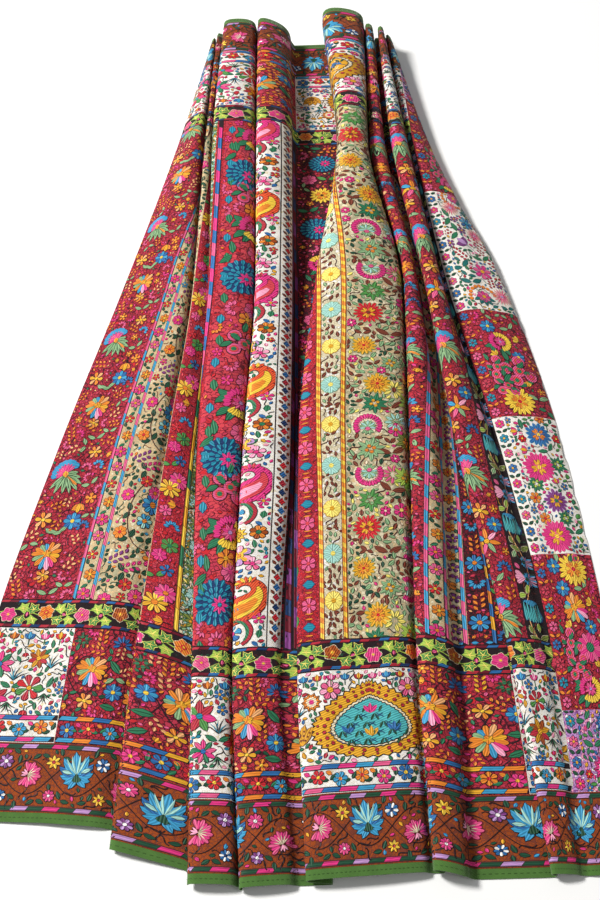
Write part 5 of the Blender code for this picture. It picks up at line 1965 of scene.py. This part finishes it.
def side_patches(work):
    """The patches down the right long side, each with a row of small blooms on its inner side."""
    start = NEAR_2
    w0 = SIDE + 1
    w1 = WIDTH - 1
    middle = (w0 + w1) / 2 + 12
    for number, (stop, ground) in enumerate(SIDE_PATCHES):
        s0 = start + 1
        s1 = stop * 1000 - 1
        seed = 300 + 10 * number
        pale = ground != "crimson"
        guard = ("magenta", "blue", "rose", "teal") if pale else ("rose", "teal", "ruby", "blue")
        window(work, w0, w0 + 27, s0, s1)
        for k, s in enumerate(repeat(s0 + 12, 34, s0, s1)):
            work.put(small_bloom(guard[k % 4], "gold" if pale else "wine", 6, 9.4), w0 + 13, s)
            work.put(leaf_pair("forest" if pale else "orange", 12, 5.4), w0 + 13, s + 15)
        window(work, w0 + 26, w1, s0, s1)
        centre, sides = side_motifs(number, ground)
        for k, s in enumerate(repeat(s0 + 34, 74, s0, s1 - 10)):
            work.put(centre[(k + number) % len(centre)], middle + (10 if k % 2 else -8), s, 25 * k)
            work.put(sides[k % len(sides)], middle + (-34 if k % 2 else 36), s + 8, 30 * k)
            work.put(sides[(k + 1) % len(sides)], middle - 24, s + 38, 40 * k)
            work.put(sides[(k + 2) % len(sides)], middle + 22, s + 38, 15 * k, 0.9)
        if number == FAR_WHITE:
            work.fill([leaf_pair("pine", 16, 8), bud_spray("crimson", 6, "wine", 7), leaf_pair("pine", 18, 8),
                       small_bloom("purple", "gold"), leaf_pair("green", 15, 7)], 7.0, 2400, seed + 2)
        if pale:
            work.fill(PALE_FILL, 7.5, 1800, seed)
            work.fill(WHITE_TINY, 2.4, 6400, seed + 1)
        else:
            work.fill(RED_FILL + [leaf_pair("green", 16, 8)], 9.5, 900, seed)
            work.fill(RED_TINY, 3.6, 4200, seed + 1)
        start = stop * 1000


def edging_stitches(work):
    """Small hem stitches along both green edgings."""
    for s0, s1 in ((0, NEAR_1), (FAR_1, LENGTH)):
        middle = (s0 + s1) / 2
        window(work, 0, WIDTH, s0, s1)
        dashes(work, (0, middle), (WIDTH, middle), 3.2, 3.6, 0.9, ("moss_green",))


def left_field(work):
    left_crimson(work)
    small_guard(work, 127, 165, 15)
    tan_stripe(work)
    red_stripe(work)


def middle_field(work):
    coral_stripe(work)
    white_stripe(work)
    maroon_stripe(work)
    bead_columns(work)


def right_field(work):
    khaki_stripe(work)
    right_stripes(work)
    lotus_column(work)


def near_end(work):
    guard = (NEAR_2 + 1, NEAR_2 + GUARD)
    rust_border(work, NEAR_1 + 1, NEAR_2 - 1, 1)
    end_panel(work, NEAR_PATCHES, guard[1], NEAR_3 - 1, guard, 0, 100)
    vine_band(work, NEAR_3 + 1, FIELD_START - 1)


def far_end(work):
    guard = (FAR_2 - GUARD, FAR_2 - 1)
    rust_border(work, FAR_2 + 1, FAR_1 - 1, -1)
    end_panel(work, FAR_PATCHES, FAR_3 + 1, guard[0], guard, 180, 200)
    vine_band(work, FIELD_STOP + 1, FAR_3 - 1)


def side_border(work):
    side_patches(work)
    edging_stitches(work)


# Each part's needlework is joined into one mesh for each layer
for layout in (left_field, middle_field, right_field, near_end, far_end, side_border):
    needlework = Needlework(layout.__name__)
    layout(needlework)
    needlework.lay()


# Floor, light and camera

def area_light(name, place, size, power, colour):
    """A round lamp that shines at the origin."""
    data = bpy.data.lights.new(name, "AREA")
    data.shape = "DISK"
    data.size = size
    data.energy = power
    data.color = colour
    lamp = bpy.data.objects.new(name, data)
    lamp.location = place
    lamp.rotation_euler = (-Vector(place)).to_track_quat("-Z", "Y").to_euler()
    bpy.context.scene.collection.objects.link(lamp)


def make_floor():
    corners = [(-1, -1), (1, -1), (1, 1), (-1, 1)]
    floor_mesh = bpy.data.meshes.new("floor")
    floor_mesh.from_pydata([(FLOOR_REACH * x, FLOOR_REACH * y, 0) for x, y in corners], [], [(0, 1, 2, 3)])
    floor = bpy.data.objects.new("floor", floor_mesh)
    bpy.context.scene.collection.objects.link(floor)
    shader = Shader("pale_floor")
    shader.fill(shader.nodes["Principled BSDF"], {"Base Color": (FLOOR_GREY,) * 3, "Roughness": 0.9})
    floor_mesh.materials.append(shader.material)


def make_camera():
    data = bpy.data.cameras.new("camera")
    data.lens = LENS
    data.sensor_width = LONG_SIDE
    data.clip_end = CLIP_END
    camera = bpy.data.objects.new("camera", data)
    camera.location = CAMERA_PLACE
    camera.rotation_euler = (math.radians(90 - CAMERA_TILT), 0.0, 0.0)
    bpy.context.scene.collection.objects.link(camera)
    bpy.context.scene.camera = camera


make_floor()
make_camera()
area_light("key", **KEY_LAMP)
area_light("fill", **FILL_LAMP)

world = bpy.data.worlds.new("studio")
world.use_nodes = True
world.node_tree.nodes["Background"].inputs["Color"].default_value = (1.0, 1.0, 1.0, 1.0)
world.node_tree.nodes["Background"].inputs["Strength"].default_value = AMBIENT
bpy.context.scene.world = world
bpy.context.scene.view_settings.view_transform = "Standard"
